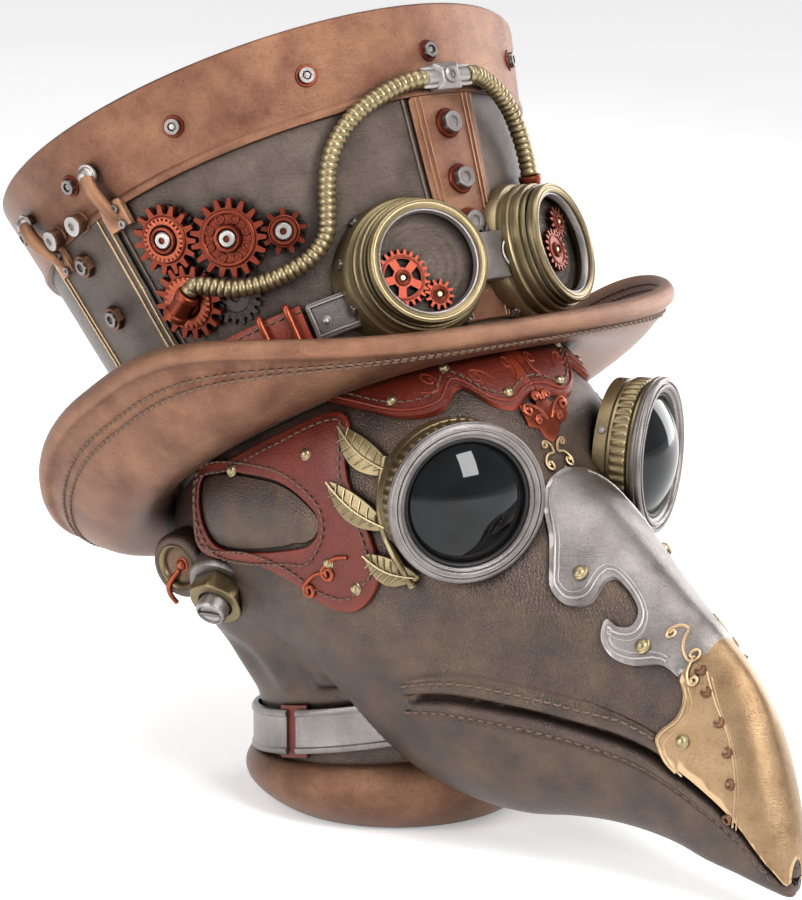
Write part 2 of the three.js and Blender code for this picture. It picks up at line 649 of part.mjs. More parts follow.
// ---- Hat -------------------------------------------------------------------------------
function buildCrown() {
  const outer = crownCone(0, 0, CROWN_H);
  const inner = crownCone(-CROWN_WALL, -10, CROWN_H - CROWN_WALL);
  piece(hat, 'hat_crown', cutBy(outer, inner), PEWTER);
  const band = cutBy(crownCone(GAP + OVERLAY, BAND_LOW, CROWN_H), crownCone(GAP, BAND_LOW - 1, CROWN_H + 1));
  piece(hat, 'top_band', band, COPPER);
  const strip = (a, b) => crownPatch(a, b, STRIP_LOW, BAND_LOW - GAP, GAP, GAP + OVERLAY);
  piece(hat, 'front_strip', strip(-FRONT_STRIP_HALF, FRONT_STRIP_HALF), COPPER);
  piece(hat, 'side_strip_right', strip(...SIDE_STRIP), COPPER);
  piece(hat, 'side_strip_left', strip(-SIDE_STRIP[1], -SIDE_STRIP[0]), COPPER);
  const nut = turned([[NUT_BORE, 0], [NUT_R, 0], [NUT_R, NUT_T - 0.6], [NUT_R - 0.6, NUT_T],
    [NUT_BORE, NUT_T]], 6);
  NUT_HEIGHTS.forEach((h, i) => {
    const frame = crownFrame(0, h, OVERLAY + 2 * GAP);
    piece(hat, `front_nut_${i + 1}`, nut.clone(), SILVER).applyMatrix4(frame);
  });
}

// ---- Gears -----------------------------------------------------------------------------
// A gear's outline about the origin with one tooth centred on the angle phase.
function gearShape(teeth, module, phase, bore) {
  const pitch = (Math.PI * 2) / teeth;
  const outer = (teeth * module) / 2 + 0.95 * module;
  const root = (teeth * module) / 2 - 1.25 * module;
  const shape = new THREE.Shape();
  for (const i of steps(teeth)) {
    for (const [r, share] of [[root, -0.3], [outer, -0.13], [outer, 0.13], [root, 0.3]]) {
      const a = phase + (i + share) * pitch;
      const call = i === 0 && share === -0.3 ? 'moveTo' : 'lineTo';
      shape[call](r * Math.cos(a), r * Math.sin(a));
    }
  }
  shape.closePath();
  shape.holes.push(new THREE.Path().absarc(0, 0, bore, 0, Math.PI * 2, true));
  return shape;
}

function gearPlate(teeth, module, phase, bore, thickness) {
  return new THREE.ExtrudeGeometry(gearShape(teeth, module, phase, bore), {
    depth: thickness, bevelEnabled: false, curveSegments: 5 });
}

// Where the follower's tooth has to point so that it meshes with its driver. The bearings
// are the directions from each gear's centre to the other's.
function meshPhase(driver, toFollower, teeth, toDriver) {
  const ahead = (driver.phase - toFollower) / ((Math.PI * 2) / driver.teeth);
  const pitch = (Math.PI * 2) / teeth;
  return toDriver - ahead * pitch + pitch / 2;
}

function bearing(frame, point) {
  const local = point.clone().applyMatrix4(frame.clone().invert());
  return Math.atan2(local.y, local.x);
}

const centreOf = (frame) => new THREE.Vector3().setFromMatrixPosition(frame);
const GEAR_MID = GEAR_STAND + GEAR_T / 2;

// The place on the crown at a mesh distance from a gear, in a given direction round it.
function besideGear(from, direction, distance) {
  const [phi0, h0] = from.at;
  const a = rad(direction);
  const start = centreOf(crownFrame(phi0, h0, GEAR_MID));
  let reach = distance;
  let at = from.at;
  for (const pass of steps(12)) {
    const across = reach * Math.cos(a);
    const [rx, ry] = crownRadii(h0);
    const radius = (rx + ry) / 2 + GEAR_MID;
    at = [phi0 - THREE.MathUtils.radToDeg(across / radius), h0 + reach * Math.sin(a)];
    reach *= distance / start.distanceTo(centreOf(crownFrame(...at, GEAR_MID)));
  }
  return at;
}

const pairDistance = (a, b) => ((a + b) * GEAR_MODULE) / 2 + MESH_SLACK;

function placeGear(teeth, driver, direction) {
  const at = besideGear(driver, direction, pairDistance(teeth, driver.teeth));
  const frame = crownFrame(...at, GEAR_MID);
  const phase = meshPhase(driver, bearing(driver.frame, centreOf(frame)), teeth,
    bearing(frame, centreOf(driver.frame)));
  return { teeth, at, frame, phase };
}

const driveGear = { teeth: DRIVE_TEETH, at: DRIVE_AT, frame: crownFrame(...DRIVE_AT, GEAR_MID), phase: 0 };
const rearGear = placeGear(REAR_TEETH, driveGear, REAR_BEARING);
const frontGear = placeGear(FRONT_TEETH, driveGear, FRONT_BEARING);
const lowerGear = placeGear(LOWER_TEETH, rearGear, LOWER_BEARING);
const TRAIN = { drive: driveGear, rear: rearGear, front: frontGear, lower: lowerGear };

function buildTrain() {
  for (const [name, gear] of Object.entries(TRAIN)) {
    const frame = crownFrame(...gear.at, GEAR_STAND);
    const plate = gearPlate(gear.teeth, GEAR_MODULE, gear.phase, POST_R + GAP, GEAR_T);
    const group = new THREE.Group();
    group.applyMatrix4(frame);
    hat.add(group);
    piece(group, `gear_${name}`, plate, RED_COPPER);
    const foot = -GEAR_STAND + GAP;
    const top = GEAR_T + GAP;
    const post = [[0, foot], [POST_HEAD_R, foot], [POST_HEAD_R, -GAP - 0.2], [POST_R, -GAP - 0.2], [POST_R, top],
      [POST_HEAD_R, top], [POST_HEAD_R, top + POST_HEAD_T], [0, top + POST_HEAD_T]];
    const stud = turned(post, 10);
    if (name === 'lower') {
      const lift = top + POST_HEAD_T + ELBOW_R - 0.6;
      const pipe = new THREE.CylinderGeometry(ELBOW_R, ELBOW_R, 11, 16).rotateZ(Math.PI / 2)
        .rotateZ(rad(ELBOW_TURN)).translate(0, 0, lift);
      piece(group, 'hose_elbow', joined(stud, pipe), RED_COPPER);
    } else {
      piece(group, `gear_post_${name}`, stud, RED_COPPER);
    }
  }
}

// ---- Hoses -----------------------------------------------------------------------------
// Route of the long hose from the elbow to the coupling: [degrees, height, extra stand].
const LONG_HOSE = [[62, 42, 1.6], [56, 40.4, 0], [49, 40.6, 0], [43, 42.6, 0], [38.6, 47.5, 0], [36.6, 54, 0],
  [35, 61, 0], [33, 68, 0], [29.5, 75.5, 0], [24.5, 81.5, 0], [18.5, 85.6, 0], [12, 88.4, 0]];
const SHORT_HOSE = [[-12, 88, 0], [-16.5, 84.5, 0], [-21.5, 78, 0], [-25, 70, 0], [-27, 62, 0],
  [-27.5, 56, 0]];

function buildHoses() {
  const block0 = crownFrame(0, COUPLING_H, OVERLAY + 2 * GAP);
  const [w, d, h] = COUPLING;
  const spigotR = HOSE_R - 0.4;
  const rise = HOSE_STAND - OVERLAY - 2 * GAP + 0.2;
  const spigots = new THREE.CylinderGeometry(spigotR, spigotR, 2 * (w / 2 + 4), 16).rotateZ(Math.PI / 2)
    .translate(0, 0, rise);
  const body = joined(block([-w / 2, -h / 2, 0.2], [w / 2, h / 2, d]), spigots);
  piece(hat, 'hose_coupling', body, SILVER).applyMatrix4(block0);
  const ends = (side) => [0, 3].map((more) => vec(side * (w / 2 + 4 + 2 * GAP + more), 0, rise)
    .applyMatrix4(block0));
  const along = (list) => list.map(([phi, height, more]) => onCrown(phi, height, HOSE_STAND + more));
  const elbow = TRAIN.lower;
  const lift = GEAR_T + 2 * GAP + POST_HEAD_T + ELBOW_R - 0.9;
  const mouth = [0, 3].map((more) => vec(5.5 + 2 * GAP + more, 0, lift)
    .applyAxisAngle(vec(0, 0, 1), rad(ELBOW_TURN)).applyMatrix4(crownFrame(...elbow.at, GEAR_STAND)));
  const route = [...mouth, ...along(LONG_HOSE), ...ends(-1).reverse()];
  piece(hat, 'long_hose', tube(route, HOSE_R, HOSE_SIDES, 34), BRASS);
  piece(hat, 'short_hose', tube([...ends(1), ...along(SHORT_HOSE)], HOSE_R, HOSE_SIDES, 15), BRASS);
}

// ---- Goggles ---------------------------------------------------------------------------
function goggleFrame(side) {
  const out = new THREE.Vector3(0, -1, 0).applyEuler(
    new THREE.Euler(rad(GOGGLE_DROP), 0, rad(GOGGLE_YAW) * side, 'ZXY'));
  const across = vec(0, 0, 1).cross(out).normalize();
  const up = out.clone().cross(across);
  return new THREE.Matrix4().makeBasis(across, up, out)
    .setPosition(GOGGLE_AT[0] * side, GOGGLE_AT[1], GOGGLE_AT[2]);
}

const cupSeat = -RING_DEPTH - GAP;
const dialBack = cupSeat - SMALL_T - 3 * GAP - DIAL_T;
const cupR = GOGGLE_R + 0.6;

function cupRoom(side, margin) {
  const r = cupR + margin;
  const foot = r + GOGGLE_FLARE;
  const profile = [[0, -CUP_DEPTH], [foot, -CUP_DEPTH], [foot, -CUP_DEPTH * 0.72], [r, cupSeat - 4],
    [r, 1 + margin], [0, 1 + margin]];
  return turned(profile, ROUND).applyMatrix4(goggleFrame(side));
}

// Gears in each goggle: centre and teeth of the large and of the small one.
const GOGGLE_GEARS = {
  right: [[-9.2, -2.9, 24], [1.6, -11, 12]],
  left: [[1, -1.5, 18], [7, 8.4, 13]],
};

function buildGoggle(name, side) {
  const group = new THREE.Group();
  group.applyMatrix4(goggleFrame(side));
  hat.add(group);
  const [[lx, ly, largeTeeth], [sx, sy, smallTeeth]] = GOGGLE_GEARS[name];
  const direction = Math.atan2(sy - ly, sx - lx);
  const reach = ((largeTeeth + smallTeeth) * SMALL_MODULE) / 2 + GAP;
  const small = [lx + reach * Math.cos(direction), ly + reach * Math.sin(direction)];
  const inner = cupR - CUP_WALL;
  const floor = dialBack - GAP;
  const shell = turned([[0, -CUP_DEPTH], [cupR + GOGGLE_FLARE, -CUP_DEPTH],
    [cupR + GOGGLE_FLARE, -CUP_DEPTH * 0.72], [cupR, cupSeat - 4], [cupR, cupSeat],
    [inner, cupSeat], [inner, floor], [0, floor]], ROUND);
  const pinTop = cupSeat - GAP;
  const pin = ([x, y]) => turned([[0, floor - 1], [PIN_R, floor - 1], [PIN_R, pinTop], [0, pinTop]], 12)
    .translate(x, y, 0);
  const pins = [[lx, ly], small].map(pin);
  const frame = goggleFrame(side);
  const back = new THREE.Matrix4().copy(frame).invert();
  const brimRoom = block([-200, -200, -60], [200, 200, BRIM_TOP + GAP]).applyMatrix4(back);
  const crown = crownCone(OVERLAY + 2 * GAP, -30, CROWN_H, 3 * ROUND).applyMatrix4(back);
  const other = block([Math.min(0, -side * 200), -200, -200], [Math.max(0, -side * 200), 200, 400])
    .translate(side * GAP / 2, 0, 0).applyMatrix4(back);
  piece(group, `goggle_cup_${name}`, cutBy(joined(shell, ...pins), crown, brimRoom, other), BRASS);
  const edge = 0.9;
  piece(group, `goggle_ring_${name}`, turned([[GOGGLE_OPEN, -RING_DEPTH], [GOGGLE_R, -RING_DEPTH],
    [GOGGLE_R, -edge], [GOGGLE_R - edge, 0], [GOGGLE_OPEN + edge, 0], [GOGGLE_OPEN, -edge]], ROUND), BRASS);
  const holes = [[lx, ly], small].map(([x, y]) => turned([[0, -60], [PIN_R + GAP, -60], [PIN_R + GAP, 0],
    [0, 0]], 12).translate(x, y, 0));
  const dial = turned([[0, dialBack], [inner - GAP, dialBack], [inner - GAP, dialBack + DIAL_T],
    [0, dialBack + DIAL_T]], ROUND);
  piece(group, `goggle_dial_${name}`, cutBy(dial, ...holes), PEWTER);
  const lift = dialBack + DIAL_T + GAP;
  const largePhase = direction;
  const smallPhase = meshPhase({ teeth: largeTeeth, phase: largePhase }, direction, smallTeeth,
    direction + Math.PI);
  for (const [kind, [x, y], teeth, phase] of [['large', [lx, ly], largeTeeth, largePhase],
    ['small', small, smallTeeth, smallPhase]]) {
    const geometry = gearPlate(teeth, SMALL_MODULE, phase, PIN_R + GAP, SMALL_T);
    const cut = kind === 'large' && name === 'right' ? cutBy(geometry, ...spokeWindows(teeth)) : geometry;
    piece(group, `${kind}_wheel_${name}`, cut, RED_COPPER).position.set(x, y, lift);
  }
}

// Windows between the spokes of the large wheel.
const SPOKES = 5;
function spokeWindows(teeth) {
  const inner = PIN_R + 2.4;
  const outer = (teeth * SMALL_MODULE) / 2 - 2.4;
  const half = Math.PI / SPOKES - 0.22;
  return steps(SPOKES).map((i) => {
    const a = (i / SPOKES) * Math.PI * 2;
    const shape = new THREE.Shape();
    shape.absarc(0, 0, outer, a - half, a + half, false);
    shape.absarc(0, 0, inner, a + half * 0.6, a - half * 0.6, true);
    return new THREE.ExtrudeGeometry(shape, { depth: SMALL_T + 2, bevelEnabled: false, curveSegments: 3 })
      .translate(0, 0, -1);
  });
}

function buildStraps() {
  const over = OVERLAY + 3 * GAP;
  const [low, high] = STRAP_BAND;
  const cups = [cupRoom(-1, GAP), cupRoom(1, GAP)];
  const strap = crownPatch(STRAP_FROM, 360 - STRAP_FROM, low, high, over, over + 1.8);
  piece(hat, 'goggle_strap', strap, RED_LEATHER);
  for (const [name, a, b] of [['right', TONGUE_FROM - 8, STRAP_FROM - 0.4],
    ['left', 0.4 - STRAP_FROM, 8 - TONGUE_FROM]]) {
    const tongue = crownPatch(a, b, low, high, over, over + 2.2);
    piece(hat, `strap_end_${name}`, cutBy(tongue, ...cups), SILVER);
  }
  const bridge = crownPatch(-18, 18, low + 6, high + 4, over + 3, over + 5);
  piece(hat, 'goggle_bridge', cutBy(bridge, ...cups), SILVER);
}

buildCrown();
piece(hat, 'brim', brimSkin(0), COPPER);
buildTrain();
buildHoses();
buildGoggle('right', -1);
buildGoggle('left', 1);
buildStraps();

export default figure;
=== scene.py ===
"""Plague doctor head on a stand: leather beaked mask, hood, neck strap and base, glass
eyepieces, and a riveted top hat with goggles, hoses and gears. Cast resin, painted as
metal and leather. Lengths are in millimetres until a mesh is made."""
import json
import math

import bpy
import numpy as np
from mathutils import Matrix, Vector
from mathutils.geometry import delaunay_2d_cdt


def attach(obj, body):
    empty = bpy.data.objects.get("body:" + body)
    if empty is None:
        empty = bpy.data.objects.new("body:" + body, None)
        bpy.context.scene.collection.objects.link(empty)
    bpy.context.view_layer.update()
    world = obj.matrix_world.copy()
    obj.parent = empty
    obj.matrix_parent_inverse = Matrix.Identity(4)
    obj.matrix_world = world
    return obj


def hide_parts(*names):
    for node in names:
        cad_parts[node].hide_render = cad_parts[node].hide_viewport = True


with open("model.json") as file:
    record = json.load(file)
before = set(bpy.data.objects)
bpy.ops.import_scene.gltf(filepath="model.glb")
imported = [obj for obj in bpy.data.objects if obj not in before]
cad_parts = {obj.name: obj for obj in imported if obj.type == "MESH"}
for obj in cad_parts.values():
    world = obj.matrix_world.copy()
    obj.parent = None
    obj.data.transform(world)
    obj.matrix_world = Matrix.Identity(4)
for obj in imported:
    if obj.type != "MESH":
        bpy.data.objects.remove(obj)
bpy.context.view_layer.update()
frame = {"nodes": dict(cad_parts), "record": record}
MM = 0.001
TAU = 2 * math.pi


# ---- Camera, light and floor --------------------------------------------------------
def make_camera():
    data = bpy.data.cameras.new("camera")
    data.lens = 144
    data.sensor_width = 36
    data.clip_end = 20
    cam = bpy.data.objects.new("camera", data)
    bpy.context.collection.objects.link(cam)
    right = Vector((0.7193, -0.6947, 0.0)).normalized()
    back = Vector((-0.6740, -0.6980, 0.2419)).normalized()
    up = back.cross(right).normalized()
    turn = Matrix((right, up, back)).transposed().to_4x4()
    cam.matrix_world = Matrix.Translation(Vector((-848.4, -880.1, 429.6)) * MM) @ turn
    bpy.context.scene.camera = cam


def area_light(name, place, target, size, watts, tint=(1, 1, 1)):
    data = bpy.data.lights.new(name, "AREA")
    data.shape = "RECTANGLE"
    data.size, data.size_y = size
    data.energy = watts
    data.color = tint
    lamp = bpy.data.objects.new(name, data)
    bpy.context.collection.objects.link(lamp)
    lamp.location = place
    aim = (Vector(target) - Vector(place)).to_track_quat("-Z", "Y")
    lamp.rotation_euler = aim.to_euler()


def make_studio():
    world = bpy.data.worlds.new("studio")
    world.use_nodes = True
    world.node_tree.nodes["Background"].inputs["Color"].default_value = (1, 1, 1, 1)
    world.node_tree.nodes["Background"].inputs["Strength"].default_value = 0.5
    bpy.context.scene.world = world
    bpy.context.scene.view_settings.view_transform = "Standard"
    middle = (0, 0, 0.15)
    area_light("key softbox", (-0.15, -1.25, 0.95), middle, (0.5, 0.7), 19)
    area_light("side softbox", (-1.3, 0.15, 0.55), middle, (0.35, 0.9), 9)
    area_light("top softbox", (-0.1, -0.1, 1.3), middle, (0.9, 0.9), 8)
    area_light("rim softbox", (1.2, -0.05, 0.4), middle, (0.6, 0.9), 10)


# ---- Materials ----------------------------------------------------------------------
def srgb(code, alpha=1.0):
    """An sRGB hex colour as linear red, green, blue and alpha."""
    parts = [int(code[i:i + 2], 16) / 255 for i in (1, 3, 5)]
    return tuple(v / 12.92 if v <= 0.04045 else ((v + 0.055) / 1.055) ** 2.4
                 for v in parts) + (alpha,)


def add(tree, kind, settings=None, links=None):
    """Adds a node, sets its properties or sockets, and links its sockets."""
    made = tree.nodes.new(kind)
    for key, value in (settings or {}).items():
        if isinstance(key, int) or key in made.inputs:
            made.inputs[key].default_value = value
        else:
            setattr(made, key, value)
    for key, source in (links or {}).items():
        tree.links.new(source, made.inputs[key])
    return made


def ramp(tree, source, stops):
    """A colour ramp through (position, colour) stops."""
    made = add(tree, "ShaderNodeValToRGB", links={"Fac": source})
    bar = made.color_ramp
    while len(bar.elements) < len(stops):
        bar.elements.new(0.5)
    for element, (at, colour) in zip(bar.elements, stops):
        element.position = at
        element.color = colour
    return made.outputs["Color"]


def grey(value):
    return (value, value, value, 1)


def noise(tree, place, size_mm, **settings):
    """Noise whose features are about this many millimetres across."""
    settings["Scale"] = 1 / (size_mm * MM)
    return add(tree, "ShaderNodeTexNoise", settings, {"Vector": place}).outputs["Fac"]


def scaled(tree, source, times, plus, clamp=False):
    """A value times a number plus a number or another value."""
    made = add(tree, "ShaderNodeMath", {"operation": "MULTIPLY_ADD", 1: times, "use_clamp": clamp},
               {0: source})
    join(tree, plus, made.inputs[2])
    return made.outputs[0]


def blend(tree, factor, first, second):
    """A mix of two colours, each given as a colour or as another node's output."""
    made = add(tree, "ShaderNodeMix", {"data_type": "RGBA"}, {"Factor": factor})
    join(tree, first, made.inputs[6])
    join(tree, second, made.inputs[7])
    return made.outputs[2]


def join(tree, value, socket):
    if isinstance(value, bpy.types.NodeSocket):
        tree.links.new(value, socket)
    else:
        socket.default_value = value


def cast_finish(name, base, wash, rub, metallic, rough, grain_mm, pattern="cast",
                relief=0.35, shade_reach_mm=2.2, patchy=0.5, coat=0.0, edges=True):
    """Cold-cast resin painted to look like metal or leather: a base coat that varies in
    patches, painted shade that darkens the recesses by ambient occlusion, partly the dark paint the
    casting has in its hollows, and a light rub on the raised edges."""
    mat = bpy.data.materials.new(name)
    mat.use_nodes = True
    tree = mat.node_tree
    shader = tree.nodes["Principled BSDF"]
    place = add(tree, "ShaderNodeTexCoord").outputs["Object"]
    patches = noise(tree, place, 14, Detail=5, Roughness=0.62)
    fine = noise(tree, place, grain_mm, Detail=6, Roughness=0.7)
    # Base coat: the hue drifts between the base and the rub colour in soft patches.
    drift = ramp(tree, patches, [(0.32, grey(0)), (0.72, grey(1))])
    drift = add(tree, "ShaderNodeMath", {"operation": "MULTIPLY", 1: patchy}, {0: drift}).outputs[0]
    colour = blend(tree, drift, srgb(base), srgb(rub))
    # Painted shade in the recesses: ambient occlusion darkens them towards the second colour, partly the
    # dark paint the casting has in its hollows; fine pits darken too.
    occlusion = add(tree, "ShaderNodeAmbientOcclusion", {"Distance": shade_reach_mm * MM, "samples": 6})
    painted_shade = ramp(tree, occlusion.outputs["AO"], [(0.25, grey(1)), (0.92, grey(0))])
    speck = ramp(tree, fine, [(0.30, grey(1)), (0.46, grey(0))])
    colour = blend(tree, scaled(tree, speck, 0.45, painted_shade, clamp=True), colour, srgb(wash))
    # Rub on the raised edges.
    edge = add(tree, "ShaderNodeNewGeometry").outputs["Pointiness"]
    raised = ramp(tree, edge, [(0.52, grey(0)), (0.58, grey(0.85 if edges else 0.0))])
    tree.links.new(blend(tree, raised, colour, srgb(rub)), shader.inputs["Base Color"])
    shader.inputs["Metallic"].default_value = metallic
    tree.links.new(scaled(tree, patches, 0.22, rough - 0.11), shader.inputs["Roughness"])
    shader.inputs["Coat Weight"].default_value = coat
    shader.inputs["Coat Roughness"].default_value = 0.25
    # Relief.
    height = fine
    if pattern == "leather":
        cells = add(tree, "ShaderNodeTexVoronoi", {"Scale": 1 / (1.1 * MM), "Randomness": 0.9,
                    "feature": "DISTANCE_TO_EDGE"}, {"Vector": place}).outputs["Distance"]
        creases = ramp(tree, cells, [(0.0, grey(0)), (0.16, grey(1))])
        height = scaled(tree, creases, 0.5, fine)
    if pattern == "brushed":
        squash = add(tree, "ShaderNodeMapping", {"Scale": (1, 1, 9)}, {"Vector": place}).outputs[0]
        height = scaled(tree, noise(tree, squash, 5, Detail=8, Roughness=0.75, Distortion=0.6), 1.6, fine)
    bump = add(tree, "ShaderNodeBump", {"Strength": relief, "Distance": 0.35 * MM}, {"Height": height})
    tree.links.new(bump.outputs[0], shader.inputs["Normal"])
    return mat


def make_materials():
    """Every finish on the piece. A metal keeps the default IOR."""
    made = {
        # In each cast finish the second colour is the painted shade laid in the recesses, and also the
        # colour of the dark pits.
        # Copper-bronze paint brushed on in streaks, rubbed to a warm gold on the edges.
        "copper": cast_finish("brushed copper paint", "#684436", "#1C100B", "#AC8163", 0.85, 0.33,
                              0.9, "brushed", 0.6, 4.0, 0.5),
        # Darker and greyer: pewter paint over a brown ground.
        "pewter": cast_finish("brushed pewter paint", "#4F4540", "#15100E", "#85766C", 0.82, 0.35,
                              0.9, "brushed", 0.8, 5.0, 0.5),
        # The base: bronze paint, rubbed bright on top of the roll.
        "bronze": cast_finish("bronze paint", "#644536", "#1A100B", "#A67C60", 0.82, 0.34, 1.0,
                              "brushed", 0.5),
        # Mask and hood: dark leather with a bronze rub in patches.
        "dark_leather": cast_finish("dark bronzed leather", "#453D3A", "#0E0A08", "#77604F", 0.8, 0.34,
                                    0.7, "leather", 0.5, 4.5, 0.5),
        # Trim: oxblood leather, satin.
        "red_leather": cast_finish("oxblood leather", "#5A180A", "#140403", "#8A331B", 0.3, 0.4,
                                   0.6, "leather", 0.45, 3.0, 0.35, 0.1),
        # Goggles, hoses and eyepieces: old brass, with painted shade in every groove.
        "brass": cast_finish("aged brass", "#76674A", "#130D06", "#B5A583", 0.85, 0.34, 0.6, "cast",
                             0.25, 2.2, 0.3),
        "gilt": cast_finish("pale gold paint", "#80654A", "#281A10", "#C0A480", 0.85, 0.32, 0.8,
                            "brushed", 0.35, 2.2, 0.45),
        "silver": cast_finish("antique silver paint", "#716A67", "#1A1514", "#BAB4B1", 0.88, 0.32, 0.8,
                              "brushed", 0.35, 2.4, 0.4),
        "red_copper": cast_finish("red copper paint", "#6A2717", "#120503", "#A9583E", 0.8, 0.34, 0.6,
                                  "cast", 0.25, 2.4, 0.3),
        # Gears, and the dark wheels behind them that are painted shadow: satin, painted shade in every
        # gap, no rub on the edges.
        "gear_copper": cast_finish("red copper gear paint", "#6E2A1A", "#120503", "#984C38", 0.8, 0.34,
                                   0.6, "cast", 0.25, 2.6, 0.3, edges=False),
        "dark_steel_and_shadow": cast_finish("dark steel paint and painted shadow", "#3C3634", "#0C0908", "#6A6462", 0.8, 0.38,
                                  0.6, "cast", 0.25, 2.6, 0.3, edges=False),
        "gasket": cast_finish("black rubber", "#141210", "#050404", "#2A2624", 0.0, 0.5, 0.5),
        "thread": cast_finish("waxed thread", "#3A2A20", "#120B08", "#6A5242", 0.1, 0.55, 0.3),
    }
    # Black glass cabochon: a clear polish over black.
    glass = bpy.data.materials.new("black glass")
    glass.use_nodes = True
    tree = glass.node_tree
    shader = tree.nodes["Principled BSDF"]
    place = add(tree, "ShaderNodeTexCoord").outputs["Object"]
    haze = add(tree, "ShaderNodeTexNoise", {"Scale": 1 / (12 * MM), "Detail": 3}, {"Vector": place})
    tint = ramp(tree, haze.outputs["Fac"], [(0.35, srgb("#050506")), (0.7, srgb("#0D1013"))])
    tree.links.new(tint, shader.inputs["Base Color"])
    smear = add(tree, "ShaderNodeMath", {"operation": "MULTIPLY_ADD", 1: 0.05, 2: 0.015},
                {0: haze.outputs["Fac"]})
    tree.links.new(smear.outputs[0], shader.inputs["Roughness"])
    shader.inputs["IOR"].default_value = 1.52
    shader.inputs["Specular IOR Level"].default_value = 0.3
    made["lens_glass"] = glass
    # Pale studio board.
    board = bpy.data.materials.new("studio board")
    board.use_nodes = True
    tree = board.node_tree
    shader = tree.nodes["Principled BSDF"]
    place = add(tree, "ShaderNodeTexCoord").outputs["Object"]
    mottle = add(tree, "ShaderNodeTexNoise", {"Scale": 3.0, "Detail": 2}, {"Vector": place})
    tone = ramp(tree, mottle.outputs["Fac"], [(0.3, srgb("#F4F4F4")), (0.7, srgb("#FAFAFA"))])
    tree.links.new(tone, shader.inputs["Base Color"])
    shader.inputs["Roughness"].default_value = 0.9
    shader.inputs["Specular IOR Level"].default_value = 0.1
    # The board glows by emission: painted light that keeps it white.
    shader.inputs["Emission Color"].default_value = (1, 1, 1, 1)
    shader.inputs["Emission Strength"].default_value = 0.33
    made["board"] = board
    return made


PAINT = make_materials()


# ---- Mesh helpers -------------------------------------------------------------------
def piece(name, verts, faces, finish, body, replaces=(), sharp=38, slot=None, bevel=0.0):
    """A mesh from points in millimetres, painted, riding on a body."""
    name = name.replace(" ", "_")
    mesh = bpy.data.meshes.new(name)
    mesh.from_pydata([tuple(float(c) * MM for c in v) for v in verts], [],
                     [tuple(int(i) for i in f) for f in faces])
    mesh.validate()
    mesh.polygons.foreach_set("use_smooth", [True] * len(mesh.polygons))
    mesh.set_sharp_from_angle(angle=math.radians(sharp))
    mesh.materials.append(PAINT[finish])
    obj = bpy.data.objects.new(name, mesh)
    bpy.context.collection.objects.link(obj)
    if bevel:
        soften(obj, bevel)
    if body:
        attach(obj, body)
    if replaces:
        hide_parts(*replaces)
    return obj


def soften(obj, width, segments=2, angle=40):
    """A small round on every hard edge."""
    mod = obj.modifiers.new("round", "BEVEL")
    mod.width = width * MM
    mod.segments = segments
    mod.limit_method = "ANGLE"
    mod.angle_limit = math.radians(angle)
    mod.harden_normals = False


def grid(points, close_u=False, close_v=False, caps=False):
    """Vertices and quads of a net of points, rows by columns."""
    rows, cols = points.shape[:2]
    verts = points.reshape(-1, 3)
    faces = []
    for i in range(rows if close_u else rows - 1):
        for j in range(cols if close_v else cols - 1):
            a, b = i * cols + j, i * cols + (j + 1) % cols
            c, d = ((i + 1) % rows) * cols + (j + 1) % cols, ((i + 1) % rows) * cols + j
            faces.append((a, b, c, d))
    if caps:
        faces.append(tuple(reversed(range(cols))))
        faces.append(tuple(range((rows - 1) * cols, rows * cols)))
    return verts, faces


class Pile:
    """Several small shapes gathered in one mesh."""

    def __init__(self):
        self.verts, self.faces = [], []

    def put(self, verts, faces, place=None):
        if place is not None:
            verts = [place @ Vector(v) for v in verts]
        start = len(self.verts)
        self.verts += [tuple(v) for v in verts]
        self.faces += [tuple(i + start for i in f) for f in faces]
        return self

    def make(self, name, finish, body, replaces=(), **how):
        return piece(name, self.verts, self.faces, finish, body, replaces, **how)


def lathe(profile, around=40, wave=None):
    """A turned shape about +Z from (radius, height) points, closed at the axis by itself."""
    turn = np.arange(around) * TAU / around
    prof = np.array(profile, float)
    net = np.zeros((len(prof), around, 3))
    for i, (r, z) in enumerate(prof):
        rad = np.full(around, r)
        if wave is not None:
            rad = rad + wave(i, turn)
        net[i] = np.stack([rad * np.cos(turn), rad * np.sin(turn), np.full(around, z)], 1)
    return grid(net, close_v=True)


def basis(origin, outward, up=(0, 0, 1)):
    """A place whose +Z looks outward and whose +Y is as near to up as it can be."""
    z = Vector(outward).normalized()
    x = Vector(up).cross(z)
    if x.length < 1e-6:
        x = Vector((1, 0, 0))
    x.normalize()
    y = z.cross(x)
    turn = Matrix((x, y, z)).transposed().to_4x4()
    return Matrix.Translation(Vector(origin)) @ turn


def sweep(path, radius, around=10, ribs=None, closed=False, up=None):
    """A tube along points; ribs(s) adds to its radius at arc length s."""
    pts = np.array(path, float)
    n = len(pts)
    ahead = np.roll(pts, -1, 0) - np.roll(pts, 1, 0)
    if not closed:
        ahead[0] = pts[1] - pts[0]
        ahead[-1] = pts[-1] - pts[-2]
    ahead /= np.linalg.norm(ahead, axis=1)[:, None]
    side = np.cross(ahead[0], up if up is not None else (0.3, 0.5, 0.81))
    side /= np.linalg.norm(side)
    s = 0.0
    net = []
    turn = np.arange(around) * TAU / around
    for i in range(n):
        side = side - ahead[i] * side.dot(ahead[i])
        side /= np.linalg.norm(side)
        other = np.cross(ahead[i], side)
        if i:
            s += np.linalg.norm(pts[i] - pts[i - 1])
        r = radius if np.isscalar(radius) else radius[i]
        r = r + (ribs(s) if ribs else 0)
        net.append(pts[i] + r * (np.cos(turn)[:, None] * side + np.sin(turn)[:, None] * other))
    return grid(np.array(net), close_u=closed, close_v=True, caps=not closed)


